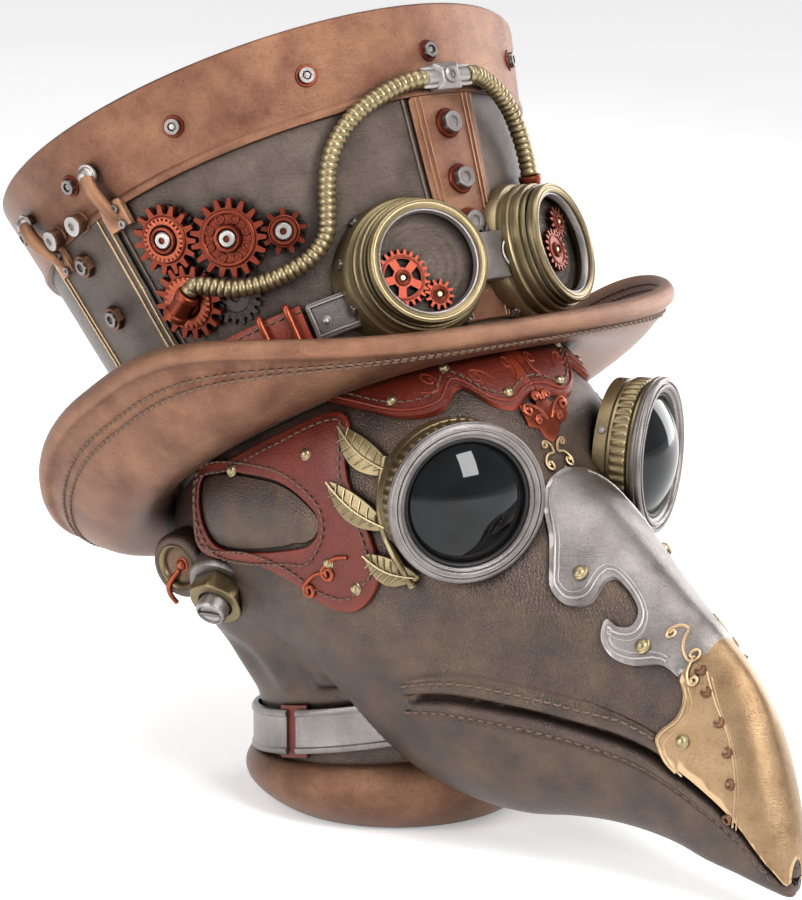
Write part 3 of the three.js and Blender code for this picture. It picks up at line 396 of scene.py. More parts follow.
def curve3(points, count, closed=False):
    """Centripetal spline through points, evenly stepped between them."""
    pts = [np.array(p, float) for p in points]
    last = len(pts) - 1
    out = []
    for k in range(count + 1):
        at = last * k / count
        i = min(int(at), last - 1)
        w = at - i
        p1, p2 = pts[i], pts[i + 1]
        p0 = pts[i - 1] if i > 0 else 2 * p1 - p2
        p3 = pts[i + 2] if i + 2 <= last else 2 * p2 - p1
        d0, d1, d2 = (max(np.sum((b - a) ** 2) ** 0.25, 1e-4) for a, b in ((p0, p1), (p1, p2), (p2, p3)))
        m1 = ((p1 - p0) / d0 - (p2 - p0) / (d0 + d1) + (p2 - p1) / d1) * d1
        m2 = ((p2 - p1) / d1 - (p3 - p1) / (d1 + d2) + (p3 - p2) / d2) * d1
        out.append(p1 + m1 * w + (-3 * p1 + 3 * p2 - 2 * m1 - m2) * w ** 2
                   + (2 * p1 - 2 * p2 + m1 + m2) * w ** 3)
    return np.array(out)


def even(points, step):
    """Points along a polyline at an even step."""
    pts = np.array(points, float)
    length = np.concatenate([[0], np.cumsum(np.linalg.norm(np.diff(pts, axis=0), axis=1))])
    count = max(2, int(round(length[-1] / step)) + 1)
    at = np.linspace(0, length[-1], count)
    return np.stack([np.interp(at, length, pts[:, k]) for k in range(pts.shape[1])], 1)


def inside(poly, points):
    """Which of the points lie inside a closed polygon."""
    hit = np.zeros(len(points), bool)
    x, y = points[:, 0], points[:, 1]
    for (x0, y0), (x1, y1) in zip(poly, np.roll(poly, -1, 0)):
        cross = (y0 > y) != (y1 > y)
        with np.errstate(divide="ignore", invalid="ignore"):
            at = (x1 - x0) * (y - y0) / (y1 - y0) + x0
        hit ^= cross & (x < at)
    return hit


def panel(surface, outline, holes=(), step=1.6, lift=0.2, thick=1.6, crown=0.0, scale=(1, 1)):
    """A plate laid on a surface. surface(u, v, out) gives points; the outline and the
    holes are in (u, v), and scale turns those to millimetres for spacing."""
    scale = np.array(scale, float)
    loops = [even(np.vstack([loop, loop[:1]]) * scale, step)[:-1] for loop in (outline, *holes)]
    low, high = loops[0].min(0), loops[0].max(0)
    gx, gy = np.meshgrid(np.arange(low[0], high[0], step), np.arange(low[1], high[1], step))
    inner = np.stack([gx.ravel(), gy.ravel()], 1)
    keep = inside(loops[0], inner)
    for loop in loops[1:]:
        keep &= ~inside(loop, inner)
    edge = np.vstack(loops)
    gap = np.array([np.min(np.sum((edge - p) ** 2, 1)) for p in inner])
    inner = inner[keep & (gap > (0.62 * step) ** 2)]
    pts = np.vstack([edge, inner])
    edges, start = [], 0
    for loop in loops:
        n = len(loop)
        edges += [(start + i, start + (i + 1) % n) for i in range(n)]
        start += n
    done = delaunay_2d_cdt([Vector(p) for p in pts], edges, [], 0, 1e-6)
    flat = np.array([tuple(v) for v in done[0]])
    tris = np.array([f for f in done[2] if len(f) == 3])
    middle = flat[tris].mean(1)
    keep = inside(loops[0], middle)
    for loop in loops[1:]:
        keep &= ~inside(loop, middle)
    tris = tris[keep]
    used = np.unique(tris)
    renum = -np.ones(len(flat), int)
    renum[used] = np.arange(len(used))
    flat, tris = flat[used], renum[tris]
    reach = np.sqrt(np.array([np.min(np.sum((edge - p) ** 2, 1)) for p in flat]))
    dome = crown * (1 - np.exp(-(reach / (1.6 * step)) ** 2))
    u, v = (flat / scale).T
    top = surface(u, v, lift + thick + dome)
    base = surface(u, v, np.full(len(flat), lift))
    # Turn the triangles so that the top looks outwards.
    a, b, c = top[tris[0]]
    sign = np.cross(b - a, c - a).dot(top[tris[0][0]] - base[tris[0][0]])
    if sign < 0:
        tris = tris[:, ::-1]
    n = len(flat)
    count = {}
    for f in tris:
        for i in range(3):
            key = (f[i], f[(i + 1) % 3])
            count[key] = True
    rim = [(a, b) for a, b in count if (b, a) not in count]
    faces = [tuple(f) for f in tris] + [tuple(f[::-1] + n) for f in tris]
    faces += [(b, a, a + n, b + n) for a, b in rim]
    return np.vstack([top, base]), faces


def spline2(points, count, closed=False):
    """Smooth line through 2-D points."""
    pts = [np.array(p, float) for p in points]
    if closed:
        pts = pts + [pts[0]]
    last = len(pts) - 1
    out = []
    for k in range(count + (0 if closed else 1)):
        at = last * k / count
        i = min(int(at), last - 1)
        w = at - i
        p1, p2 = pts[i], pts[i + 1]
        p0 = pts[i - 1] if i > 0 else (pts[-2] if closed else p1)
        p3 = pts[i + 2] if i + 2 <= last else (pts[1] if closed else p2)
        v0, v1 = (p2 - p0) / 2, (p3 - p1) / 2
        out.append((2 * p1 - 2 * p2 + v0 + v1) * w ** 3 + (-3 * p1 + 3 * p2 - 2 * v0 - v1) * w ** 2
                   + v0 * w + p1)
    return np.array(out)


# ---- Small hardware -----------------------------------------------------------------
def stud_shape(radius, height, around=20):
    """A domed stud on a thin collar."""
    prof = [(radius * 1.22, -0.6), (radius * 1.22, 0.25), (radius * 1.1, 0.4), (radius * 1.0, 0.35)]
    for k in range(7):
        a = k / 6 * math.pi / 2
        prof.append((radius * math.cos(a), 0.35 + height * math.sin(a)))
    prof[-1] = (0.001, prof[-1][1])
    return lathe(prof, around)


def nut_shape(radius, height, bore):
    """A hex nut with chamfered corners and a bore."""
    rows = [(bore, height * 0.45), (bore, height), (radius * 0.78, height), (radius * 0.9, height),
            (radius, height - 0.16 * radius), (radius, 0), (radius, -0.6)]

    def hexed(i, turn):
        if i < 4:
            return 0 * turn
        flat = math.cos(math.pi / 6) / np.cos((turn + math.pi / 6) % (math.pi / 3) - math.pi / 6)
        return radius * (flat - 1) * 0.999
    verts, faces = lathe(rows, 48, hexed)
    floor = lathe([(0.001, height * 0.45), (bore, height * 0.45)], 48)
    pile = Pile().put(verts, faces)
    pile.put(*floor)
    return pile.verts, pile.faces


def stitch_row(pile, points, normals, length=2.0, gap=1.1, radius=0.38, phase=0.0):
    """Short sewn stitches along a line on a surface."""
    pts = np.array(points, float)
    nor = np.array(normals, float)
    s = np.concatenate([[0], np.cumsum(np.linalg.norm(np.diff(pts, axis=0), axis=1))])
    at = phase
    while at + length < s[-1]:
        a = np.array([np.interp(at, s, pts[:, k]) for k in range(3)])
        b = np.array([np.interp(at + length, s, pts[:, k]) for k in range(3)])
        n = np.array([np.interp(at + length / 2, s, nor[:, k]) for k in range(3)])
        n /= np.linalg.norm(n)
        line = [a - n * radius, a + (b - a) * 0.15 + n * radius * 0.5, (a + b) / 2 + n * radius * 0.7,
                a + (b - a) * 0.85 + n * radius * 0.5, b - n * radius]
        pile.put(*sweep(line, [radius * 0.7, radius, radius * 1.05, radius, radius * 0.7], 6, up=n))
        at += length + gap


# ---- The mask's surface -------------------------------------------------------------
# Sections from the crest to the underside: crest y, z, underside y, z, half width.
MASK_STATIONS = np.array([
    [33, 176, 33, 52, 65], [14, 182, 14, 46, 65.5], [-12, 181, -12, 34, 64.5],
    [-35, 176, -34, 22, 61.5], [-58, 164, -54, 15, 56.5], [-71, 150, -68, 13, 51],
    [-78, 134, -82, 13.5, 45.5], [-90, 127, -98, 16.5, 39], [-104, 120, -112, 18, 31.5],
    [-120, 109, -126, 18, 25], [-137, 97, -140, 16.5, 20], [-150, 88.5, -152, 13.5, 16.5],
    [-162, 79, -163, 12, 13.5], [-170, 69, -171.5, 10.5, 11], [-176, 56.5, -178, 9.5, 8.5],
    [-180.5, 43.5, -181.5, 9, 6], [-184, 29.5, -183.5, 9.5, 3.5], [-185, 20, -184.5, 12.5, 1.5]], float)
FINE = 600
CREST = curve3(MASK_STATIONS[:, [0, 1]], FINE)
UNDER = curve3(np.stack([MASK_STATIONS[:, 4], MASK_STATIONS[:, 2], MASK_STATIONS[:, 3]], 1), FINE)


def smoothstep(x, low, high):
    k = np.clip((x - low) / (high - low), 0, 1)
    return k * k * (3 - 2 * k)


def spow(v, p):
    return np.sign(v) * np.abs(v) ** p


def mask_smooth(t, a, out=0.0):
    """Points on the mask: t from the back to the tip, a round it from the crest."""
    t, a = np.broadcast_arrays(np.asarray(t, float), np.asarray(a, float))
    at = np.clip(t, 0, 1) * FINE
    i = np.minimum(at.astype(int), FINE - 1)
    w = (at - i)[..., None]
    top = CREST[i] * (1 - w) + CREST[i + 1] * w
    low = UNDER[i] * (1 - w) + UNDER[i + 1] * w
    width = low[..., 0] + out
    rise = top - low[..., 1:]
    size = np.linalg.norm(rise, axis=-1)
    half = size / 2 + out
    rise = rise / size[..., None]
    middle = (top + low[..., 1:]) / 2
    ridge = smoothstep(-middle[..., 0], 66, 108)
    power = np.where(np.cos(a) > 0, 0.84 + (1.12 - 0.84) * ridge, 0.84)
    up = half * spow(np.cos(a), power)
    x = width * spow(np.sin(a), power)
    return np.stack([x, middle[..., 0] + rise[..., 0] * up, middle[..., 1] + rise[..., 1] * up], -1)


GRID_T, GRID_A = np.meshgrid(np.linspace(0, 1, 160), np.linspace(0.0, math.pi, 120), indexing="ij")
GRID_P = mask_smooth(GRID_T, GRID_A)


def mask_uv(points, axes=(1, 2)):
    """(t, a) on the figure's left half of the mask from two coordinates of each point."""
    out = []
    front = GRID_P[..., 1] < 20
    for target in points:
        target = np.array(target, float)
        goal = np.array([abs(target[0]) if axes[0] == 0 else target[0], target[1]])
        gap = np.sum((GRID_P[..., list(axes)] - goal) ** 2, -1)
        gap = np.where(front | (axes[0] == 1), gap, 1e9)
        i, j = np.unravel_index(np.argmin(gap), gap.shape)
        uv = np.array([GRID_T[i, j], GRID_A[i, j]])
        for _ in range(8):
            here = mask_smooth(*uv)[list(axes)]
            jac = np.stack([(mask_smooth(uv[0] + 1e-4, uv[1])[list(axes)] - here) / 1e-4,
                            (mask_smooth(uv[0], uv[1] + 1e-4)[list(axes)] - here) / 1e-4], 1)
            try:
                move = np.linalg.solve(jac + 1e-6 * np.eye(2), goal - here)
            except np.linalg.LinAlgError:
                break
            uv = uv + np.clip(move, -0.03, 0.03)
            uv[0] = min(max(uv[0], 0.001), 0.999)
            uv[1] = min(max(uv[1], 0.0), math.pi)
        out.append(uv)
    return np.array(out)


MASK_SCALE = (300, 42)
# The mouth in a side view, (y, z), from its corner to the tip.
MOUTH = [(-58, 59), (-73, 61.5), (-94, 60.3), (-112, 57.4), (-132, 53.5), (-147, 47.4),
         (-167, 34.7), (-180, 19.4)]
MOUTH_UV = mask_uv(spline2(MOUTH, 60))


def mouth_offset(t, a):
    """How far a point is from the mouth line in millimetres, up the face."""
    line = np.interp(t, MOUTH_UV[:, 0], MOUTH_UV[:, 1])
    size = np.interp(t, np.linspace(0, 1, FINE + 1),
                     np.linalg.norm(CREST - UNDER[:, 1:], axis=1) / 2)
    return (line - np.abs(a)) * size, t - MOUTH_UV[0, 0]


def mask_sculpt(t, a, out=0.0):
    """The mask with its mouth slit and lips, the seams beside them and the sunken beak sides."""
    t, a = np.broadcast_arrays(np.asarray(t, float), np.asarray(a, float))
    above, ahead = mouth_offset(t, a)
    run = smoothstep(ahead, -0.01, 0.03)
    slit = -4.4 * np.exp(-(above / 1.15) ** 2) * run
    lips = 1.7 * (np.exp(-((above - 3.0) / 2.2) ** 2) + np.exp(-((above + 3.0) / 2.2) ** 2)) * run
    lips = lips * smoothstep(1 - t, 0.0, 0.12)
    seam = -0.7 * (np.exp(-((above - 6.6) / 0.6) ** 2) + np.exp(-((above + 6.6) / 0.6) ** 2)) * run
    sunk = -1.6 * np.exp(-((above - 17) / 8) ** 2) * smoothstep(ahead, 0.0, 0.1)
    sunk = sunk * smoothstep(1 - t, 0.1, 0.4)
    return mask_smooth(t, a, out + (slit + lips + seam + sunk) * (np.asarray(out) < 3))


def make_mask():
    t = np.linspace(0, 1, 300)
    a = np.linspace(-math.pi, math.pi, 521)[:-1]
    tt, aa = np.meshgrid(t, a, indexing="ij")
    verts, faces = grid(mask_sculpt(tt, aa), close_v=True, caps=True)
    # What stands behind the throat line is the neck's.
    throat = np.array([(60, 66), (14, 64), (-6, 68), (-18, 64), (-32, 52), (-42, 36), (-50, 20),
                       (-56, -10), (60, -10)], float)
    behind = inside(throat, verts[:, 1:])
    kept = [f for f in faces if not all(behind[i] for i in f)]
    piece("beaked mask", verts, kept, "dark_leather", "bust", ("mask", "lower_beak"), sharp=60)


# ---- Hood, neck and base ------------------------------------------------------------
BASE_R, BASE_BULGE, BASE_H, NECK_LEAN, NECK_R = 42, 8, 22, 0.23, 49.5
HOOD_STATIONS = np.array([
    [22.3, 0, 49.5, 49.5], [34, 0, 49.5, 49.5], [46, 0, 49.5, 49.5], [55, 3, 52, 53],
    [65, 9, 56, 64], [76, 12, 61, 71], [88, 12, 62, 72], [108, 16, 60, 66], [136, 20, 57, 66],
    [156, 23, 49, 60], [172, 26, 39, 50], [184, 28, 28, 34], [190, 29, 12, 16]], float)


def hood_point(s, turn, out=0.0):
    at = np.clip(s, 0, 1) * (len(HOOD_STATIONS) - 1)
    line = curve3(HOOD_STATIONS, 240)
    k = at / (len(HOOD_STATIONS) - 1) * 240
    i = np.minimum(k.astype(int), 239)
    w = (k - i)[..., None]
    z, y, rx, ry = np.moveaxis(line[i] * (1 - w) + line[i + 1] * w, -1, 0)
    square = 1 - 0.2 * smoothstep(at, 2, 3)
    px = (rx + out) * spow(np.sin(turn), square)
    py = y + (ry + out) * spow(np.cos(turn), square)
    tilt = NECK_LEAN * (1 - smoothstep(at, 2, 3)) * (0.5 + 0.5 * smoothstep(at, 0, 1))
    return np.stack([px, py, z - tilt * py], -1)


def make_neck():
    s, turn = np.meshgrid(np.linspace(0, 1, 120), np.arange(128) * TAU / 128, indexing="ij")
    # Soft folds where the hood gathers into the strap.
    fold = np.exp(-((s - 0.24) / 0.06) ** 2) * 1.5 * np.sin(turn * 17 + 2.2 * np.sin(turn * 3))
    fold += np.exp(-((s - 0.36) / 0.08) ** 2) * 1.1 * np.sin(turn * 9 + 1.0)
    fold -= 0.9 * (s < 0.14)
    verts, faces = grid(hood_point(s, turn, fold), close_v=True, caps=True)
    piece("hood", verts, faces, "dark_leather", "bust", ("hood",), sharp=60)
    prof = [(0.001, 0), (BASE_R - 1.5, 0), (BASE_R, 0.8)]
    for k in range(1, 25):
        q = k / 24
        prof.append((BASE_R + BASE_BULGE * math.sin(q * math.pi) ** 0.7 + q * (NECK_R - BASE_R),
                     q * BASE_H))
    prof += [(NECK_R - 2, BASE_H + 0.5), (0.001, BASE_H + 0.5)]
    verts, faces = lathe(prof, 96)
    verts = [(x, y, z - max(0, z) / BASE_H / 2 * NECK_LEAN * y) for x, y, z in verts]
    piece("rolled base", verts, faces, "bronze", "bust", ("neck_base",), sharp=50)
    # The neck strap is a silver band whose two ends leave a gap over a red lining.
    low, high = BASE_H + 3, BASE_H + 19
    inner, outer = NECK_R + 0.2, NECK_R + 2.5
    start = STRAP_GAP_AT + 0.045
    turn = np.linspace(start, start + TAU - 0.09, 160)
    rows = [(inner, low), (outer - 0.5, low), (outer, low + 0.8), (outer, low + 2),
            (outer - 0.5, low + 2.5), (outer - 0.5, high - 2.5), (outer, high - 2), (outer, high - 0.8),
            (outer - 0.5, high), (inner, high)]
    net = np.array([[(r * math.cos(b), r * math.sin(b), z - NECK_LEAN * r * math.sin(b)) for r,
                     z in rows] for b in turn])
    verts, faces = grid(net, close_v=True, caps=True)
    piece("neck strap", verts, faces, "silver", "bust", ("neck_strap",), sharp=45)
    turn = np.linspace(STRAP_GAP_AT - 0.13, STRAP_GAP_AT + 0.13, 20)
    rows = [(inner - 0.6, low - 1.5), (inner + 0.9, low - 1.5), (inner + 0.9, high + 1.5),
            (inner - 0.6, high + 1.5)]
    net = np.array([[(r * math.cos(b), r * math.sin(b), z - NECK_LEAN * r * math.sin(b)) for r,
                     z in rows] for b in turn])
    verts, faces = grid(net, close_v=True, caps=True)
    piece("strap lining", verts, faces, "red_leather", "bust", sharp=40)


STRAP_GAP_AT = math.radians(180)


# ---- Hat ----------------------------------------------------------------------------
HAT = (Matrix.Translation((0, 17, 132)) @ Matrix.Rotation(math.radians(-31), 4, "X")
       @ Matrix.Rotation(math.radians(2), 4, "Y"))
HAT_NP = np.array(HAT)
CROWN_H, FOOT, HEAD = 116, (65, 74.5), (93.5, 96)
BAND_LOW = 85


def to_world(points):
    return points @ HAT_NP[:3, :3].T + HAT_NP[:3, 3]


def crown_local(phi, h, out=0.0):
    phi, h, out = np.broadcast_arrays(np.asarray(phi, float), np.asarray(h, float),
                                      np.asarray(out, float))
    k = h / CROWN_H
    rx, ry = FOOT[0] + (HEAD[0] - FOOT[0]) * k, FOOT[1] + (HEAD[1] - FOOT[1]) * k
    b = np.radians(phi)
    return np.stack([-(rx + out) * np.sin(b), -(ry + out) * np.cos(b), h], -1)


def crown(phi, h, out=0.0):
    """World points on the crown: phi in degrees from the front to the figure's right."""
    return to_world(crown_local(phi, h, out))


def crown_place(phi, h, out=0.0):
    """A place on the crown: +Z out of the wall, +Y up it."""
    p = crown_local(phi, h)
    up = crown_local(phi, h + 1) - p
    side = crown_local(phi - 1, h) - crown_local(phi + 1, h)
    z = np.cross(side, up)
    z /= np.linalg.norm(z)
    if z.dot(crown_local(phi, h, 1) - p) < 0:
        z = -z
    return HAT @ basis(p + z * out, z, up)


CROWN_SCALE = (1.45, 1)


def make_crown():
    phi, h = np.meshgrid(np.linspace(0, 360, 181)[:-1],
                         [-2, 0, 20, 40, 60, 84.2, 84.8, CROWN_H - 1.5, CROWN_H - 0.4, CROWN_H],
                         indexing="xy")
    out = np.where(h >= CROWN_H, -1.2, np.where(h > CROWN_H - 1, -0.3, 0.0))
    outer = crown(phi, h, out)
    lid = [crown(phi[0], CROWN_H, np.full(180, -r)) for r in (6, 20, 45, 70, 90)]
    dish = [0.2, 0.6, 0.9, 1.0, 1.0]
    for ring, drop in zip(lid, dish):
        ring += HAT_NP[:3, 2] * (-drop)
    net = np.concatenate([outer, np.array(lid)])
    verts, faces = grid(net, close_v=True)
    faces.append(tuple(range((len(net) - 1) * 180, len(net) * 180)))
    inner = grid(crown(phi[0][None, :], np.array([-2, 30, 60, 90, 112.0])[:, None], -3.5), close_v=True)
    pile = Pile().put(verts, faces)
    pile.put(inner[0], [f[::-1] for f in inner[1]])
    pile.put(*grid(np.array([crown(phi[0], np.full(180, -2.0), -3.5),
                             crown(phi[0], np.full(180, -2.0), 0)]), close_v=True))
    top = crown(phi[0], np.full(180, 112.0), -3.5)
    pile.put(top, [tuple(range(180))])
    pile.make("hat crown", "pewter", "hat", ("hat_crown",), sharp=35)
    # Copper band round the top, its two edges rolled.
    rows = [(BAND_LOW - 0.2, 0.1), (BAND_LOW, 1.9), (BAND_LOW + 1.2, 2.3), (BAND_LOW + 2.4, 1.9),
            (BAND_LOW + 3.2, 1.35), (BAND_LOW + 4.6, 1.5), (95, 1.6), (105, 1.7), (CROWN_H - 2.5, 1.9),
            (CROWN_H - 0.8, 1.7), (CROWN_H, 0.9), (CROWN_H + 0.1, -1), (CROWN_H - 0.3, -4)]
    net = np.array([crown(phi[0], np.full(180, float(hh)), oo) for hh, oo in rows])
    verts, faces = grid(net, close_v=True)
    piece("top band", verts, faces, "copper", "hat", ("top_band",), sharp=40)


def crown_panel(name, node, phi0, phi1, low, high, finish, thick=1.5, lift=0.1, crown_up=0.0):
    outline = np.array([(phi0, low), (phi1, low), (phi1, high), (phi0, high)], float)
    verts, faces = panel(crown, outline, (), 2.4, lift, thick, crown_up, CROWN_SCALE)
    return piece(name, verts, faces, finish, "hat", (node,) if node else (), bevel=0.45)


def make_strips():
    crown_panel("front strip", "front_strip", -9.5, 9.5, 8, 85.2, "copper")
    for name, side in (("right", 1), ("left", -1)):
        a, b = sorted((85 * side, 113 * side))
        crown_panel(f"side strip {name}", f"side_strip_{name}", a, b, 8, 85.2, "pewter")
        edges = Pile()
        for at in (a + 1, a + 3, b - 3, b - 1):
            edges.put(*sweep(crown(np.full(40, float(at)), np.linspace(8.6, 84.8, 40), 1.7), 0.42, 8))
        edges.make(f"side strip edges {name}", "gilt", "hat")
    # Double seams beside the strips and along the front one.
    edges = Pile()
    for at in (-7.8, -6.4, 6.4, 7.8):
        edges.put(*sweep(crown(np.full(40, float(at)), np.linspace(8.6, 84.8, 40), 1.65), 0.34, 8))
    edges.make("front strip edges", "copper", "hat")
    seams = Pile()
    for at in (10.6, -10.6, 83.6, -83.6, 114.4, -114.4):
        line = crown(np.full(40, float(at)), np.linspace(8, 85, 40), 0.25)
        seams.put(*sweep(line, 0.55, 8))
    seams.make("strip_welts", "pewter", "hat")


# Brim
def rim_point(phi):
    a = np.radians(phi)
    return np.stack([-112 * (1 + 0.11 * np.cos(a)) * spow(np.sin(a), 0.75),
                     -100 * spow(np.cos(a), 0.75) + 3.5,
                     15.8 - 13.8 * np.cos(2 * a) - 2.9 * np.cos(3 * a) + 2.5 * np.cos(4 * a)], -1)


def brim_local(phi, s, under=0.0):
    """A point on the brim in the hat's frame: s from the crown to the rim, under 0 on the
    upper face and 1 on the lower one."""
    phi, s = np.broadcast_arrays(np.asarray(phi, float), np.asarray(s, float))
    foot = crown_local(phi, 4.0, 0.5)
    foot[..., 2] = 0
    rim = rim_point(phi)
    belly = 4 + 8 * (1 - np.cos(np.radians(phi))) / 2
    p = foot + (rim - foot) * s[..., None]
    p[..., 2] = 4 - belly * np.sin(math.pi * np.clip(s, 0, 1) ** 1.2) + (rim[..., 2] - 4) * s ** 3
    p[..., 2] -= under * (5 + 2.5 * s)
    return p


def make_brim():
    phi = np.arange(0, 360, 2.0)
    rows = []
    for s in np.linspace(0, 0.93, 24):
        rows.append(brim_local(phi, np.full(len(phi), s)))
    # Rolled edge.
    top, low = brim_local(phi, np.full(len(phi), 0.965)), brim_local(phi, np.full(len(phi), 0.965), 1.0)
    middle = (top + low) / 2
    outward = rim_point(phi) - middle
    outward[:, 2] = 0
    outward /= np.linalg.norm(outward, axis=1)[:, None]
    for k in range(9):
        b = math.pi * k / 8
        rows.append(middle + outward * (3.3 * math.sin(b)) + np.array([0, 0, 1.0]) * (3.75 * math.cos(b)))
    for s in np.linspace(0.93, 0, 24):
        rows.append(brim_local(phi, np.full(len(phi), s), 1.0))
    verts, faces = grid(to_world(np.array(rows)), close_u=True, close_v=True)
    piece("brim", verts, faces, "copper", "hat", ("brim",), sharp=60)
    thread = Pile()
    for s, under in ((0.895, 0.0), (0.925, 0.0), (0.87, 1.0), (0.905, 1.0)):
        line = brim_local(np.append(phi, 360), np.full(len(phi) + 1, s), under)
        step = brim_local(np.append(phi, 360), np.full(len(phi) + 1, s + 0.01), under) - line
        along = np.gradient(line, axis=0)
        normal = np.cross(along, step)
        normal *= np.sign(normal[:, 2:3]) * (1 - 2 * under)
        normal /= np.linalg.norm(normal, axis=1)[:, None]
        stitch_row(thread, to_world(line), normal @ HAT_NP[:3, :3].T, 2.2, 1.0, 0.42)
    thread.make("brim_stitches", "thread", "hat", sharp=60)


# ---- Plates and trims laid on the mask ----------------------------------------------
NOSE_EDGE = [(-80, 133), (-86, 125), (-94, 115), (-98, 107), (-101, 100), (-107, 95.5), (-113, 97),
             (-115, 104), (-121, 101), (-127, 95), (-127, 90.5), (-123, 90), (-119, 92),
             (-119.5, 86), (-124, 81), (-131, 79), (-139, 80), (-145, 77)]
SHEATH_EDGE = [(-146, 76), (-148.5, 71), (-147.5, 65), (-143, 60.5), (-141.5, 57), (-144, 51.5),
               (-148, 48)]
CHEEK_OUTER = [(31, 122), (14, 130), (-4, 140), (-29, 151), (-37, 131), (-48, 114), (-52, 100),
               (-44, 88.5), (-31, 88), (-15, 94), (3, 96.5), (31, 96)]
CHEEK_WINDOW = [(27, 122), (-6, 127), (-25, 120), (-28, 112), (-18, 105), (22, 99)]
LEAVES = [(-31, 146, -53, 134), (-31.5, 129, -55, 117), (-48, 107.5, -66, 102)]
BROW_EDGE = [(0.2, 156), (5, 155.2), (12, 152.5), (19, 154.5), (26, 160), (34, 154), (43, 151.4),
             (50, 153.4), (57, 156)]
EMBLEM = [(0, 155.4), (4, 151), (10, 152.4), (9.5, 147), (5, 145.5), (3, 142), (0, 140.5)]


def skin(side):
    """The mask's surface on one side of the head, -1 for the figure's right."""
    return lambda t, a, out=0.0: mask_smooth(t, a, out) * np.array([side, 1, 1])


def laid(name, node, side, outline, finish, holes=(), lift=0.25, thick=1.7, step=1.5, dome=0.5,
         body="bust"):
    verts, faces = panel(skin(side), outline, holes, step, lift, thick, dome, MASK_SCALE)
    return piece(name, verts, faces, finish, body, (node,) if node else (), sharp=50, bevel=0.35)


def inset(loop, distance):
    """A loop moved inwards by a distance, in the mask's scaled plane."""
    pts = np.array(loop) * MASK_SCALE
    ahead = np.roll(pts, -1, 0) - np.roll(pts, 1, 0)
    ahead /= np.maximum(np.linalg.norm(ahead, axis=1), 1e-9)[:, None]
    area = np.sum(pts[:, 0] * np.roll(pts[:, 1], -1) - np.roll(pts[:, 0], -1) * pts[:, 1])
    turn = np.stack([-ahead[:, 1], ahead[:, 0]], 1) * np.sign(area)
    return (pts + turn * distance) / MASK_SCALE


def stitches_on(pile, side, line, out, length=1.9, gap=1.1, radius=0.34, close=True):
    uv = np.vstack([line, line[:1]]) if close else np.array(line)
    uv = even(uv * MASK_SCALE, 0.8) / MASK_SCALE
    surface = skin(side)
    pts = surface(uv[:, 0], uv[:, 1], out)
    normals = pts - surface(uv[:, 0], uv[:, 1], out - 1.0)
    stitch_row(pile, pts, normals, length, gap, radius)


def bead(pile, side, line, out, radius, close=True):
    """A rolled welt along a line on the mask."""
    uv = np.vstack([line, line[:1]]) if close else np.array(line)
    uv = even(uv * MASK_SCALE, 0.7) / MASK_SCALE
    pts = skin(side)(uv[:, 0], uv[:, 1], out)
    if close:
        pts = pts[:-1]
    pile.put(*sweep(pts, radius, 8, closed=close))


def on_mask(side, y, z, out=0.0, axes=(1, 2)):
    """A place on the mask with +Z out of it, from its side view or its front view."""
    t, a = mask_uv([(y, z)], axes)[0]
    surface = skin(side)
    p = surface(t, a, out)
    n = surface(t, a, out + 1) - p
    return basis(p, n)


def curl(side, start, end, turns, size, out, axes=(1, 2)):
    """A scroll: a stem that winds up at its end, laid on the mask."""
    a, b = np.array(start, float), np.array(end, float)
    along = (b - a) / np.linalg.norm(b - a)
    across = np.array([-along[1], along[0]])
    entry = b + across * size * 0.8
    line = [a + (entry - a) * k + across * 0.5 * size * math.sin(math.pi * k)
            for k in np.linspace(0, 0.85, 6)]
    for k in np.linspace(0, 1, 18):
        r = size * (1 - 0.72 * k)
        w = TAU * turns * k
        line.append(b + across * (r * math.cos(w) - size * 0.2) + along * r * math.sin(w))
    uv = mask_uv(line, axes)
    pts = skin(side)(uv[:, 0], uv[:, 1], out)
    return curve3(pts, 90)


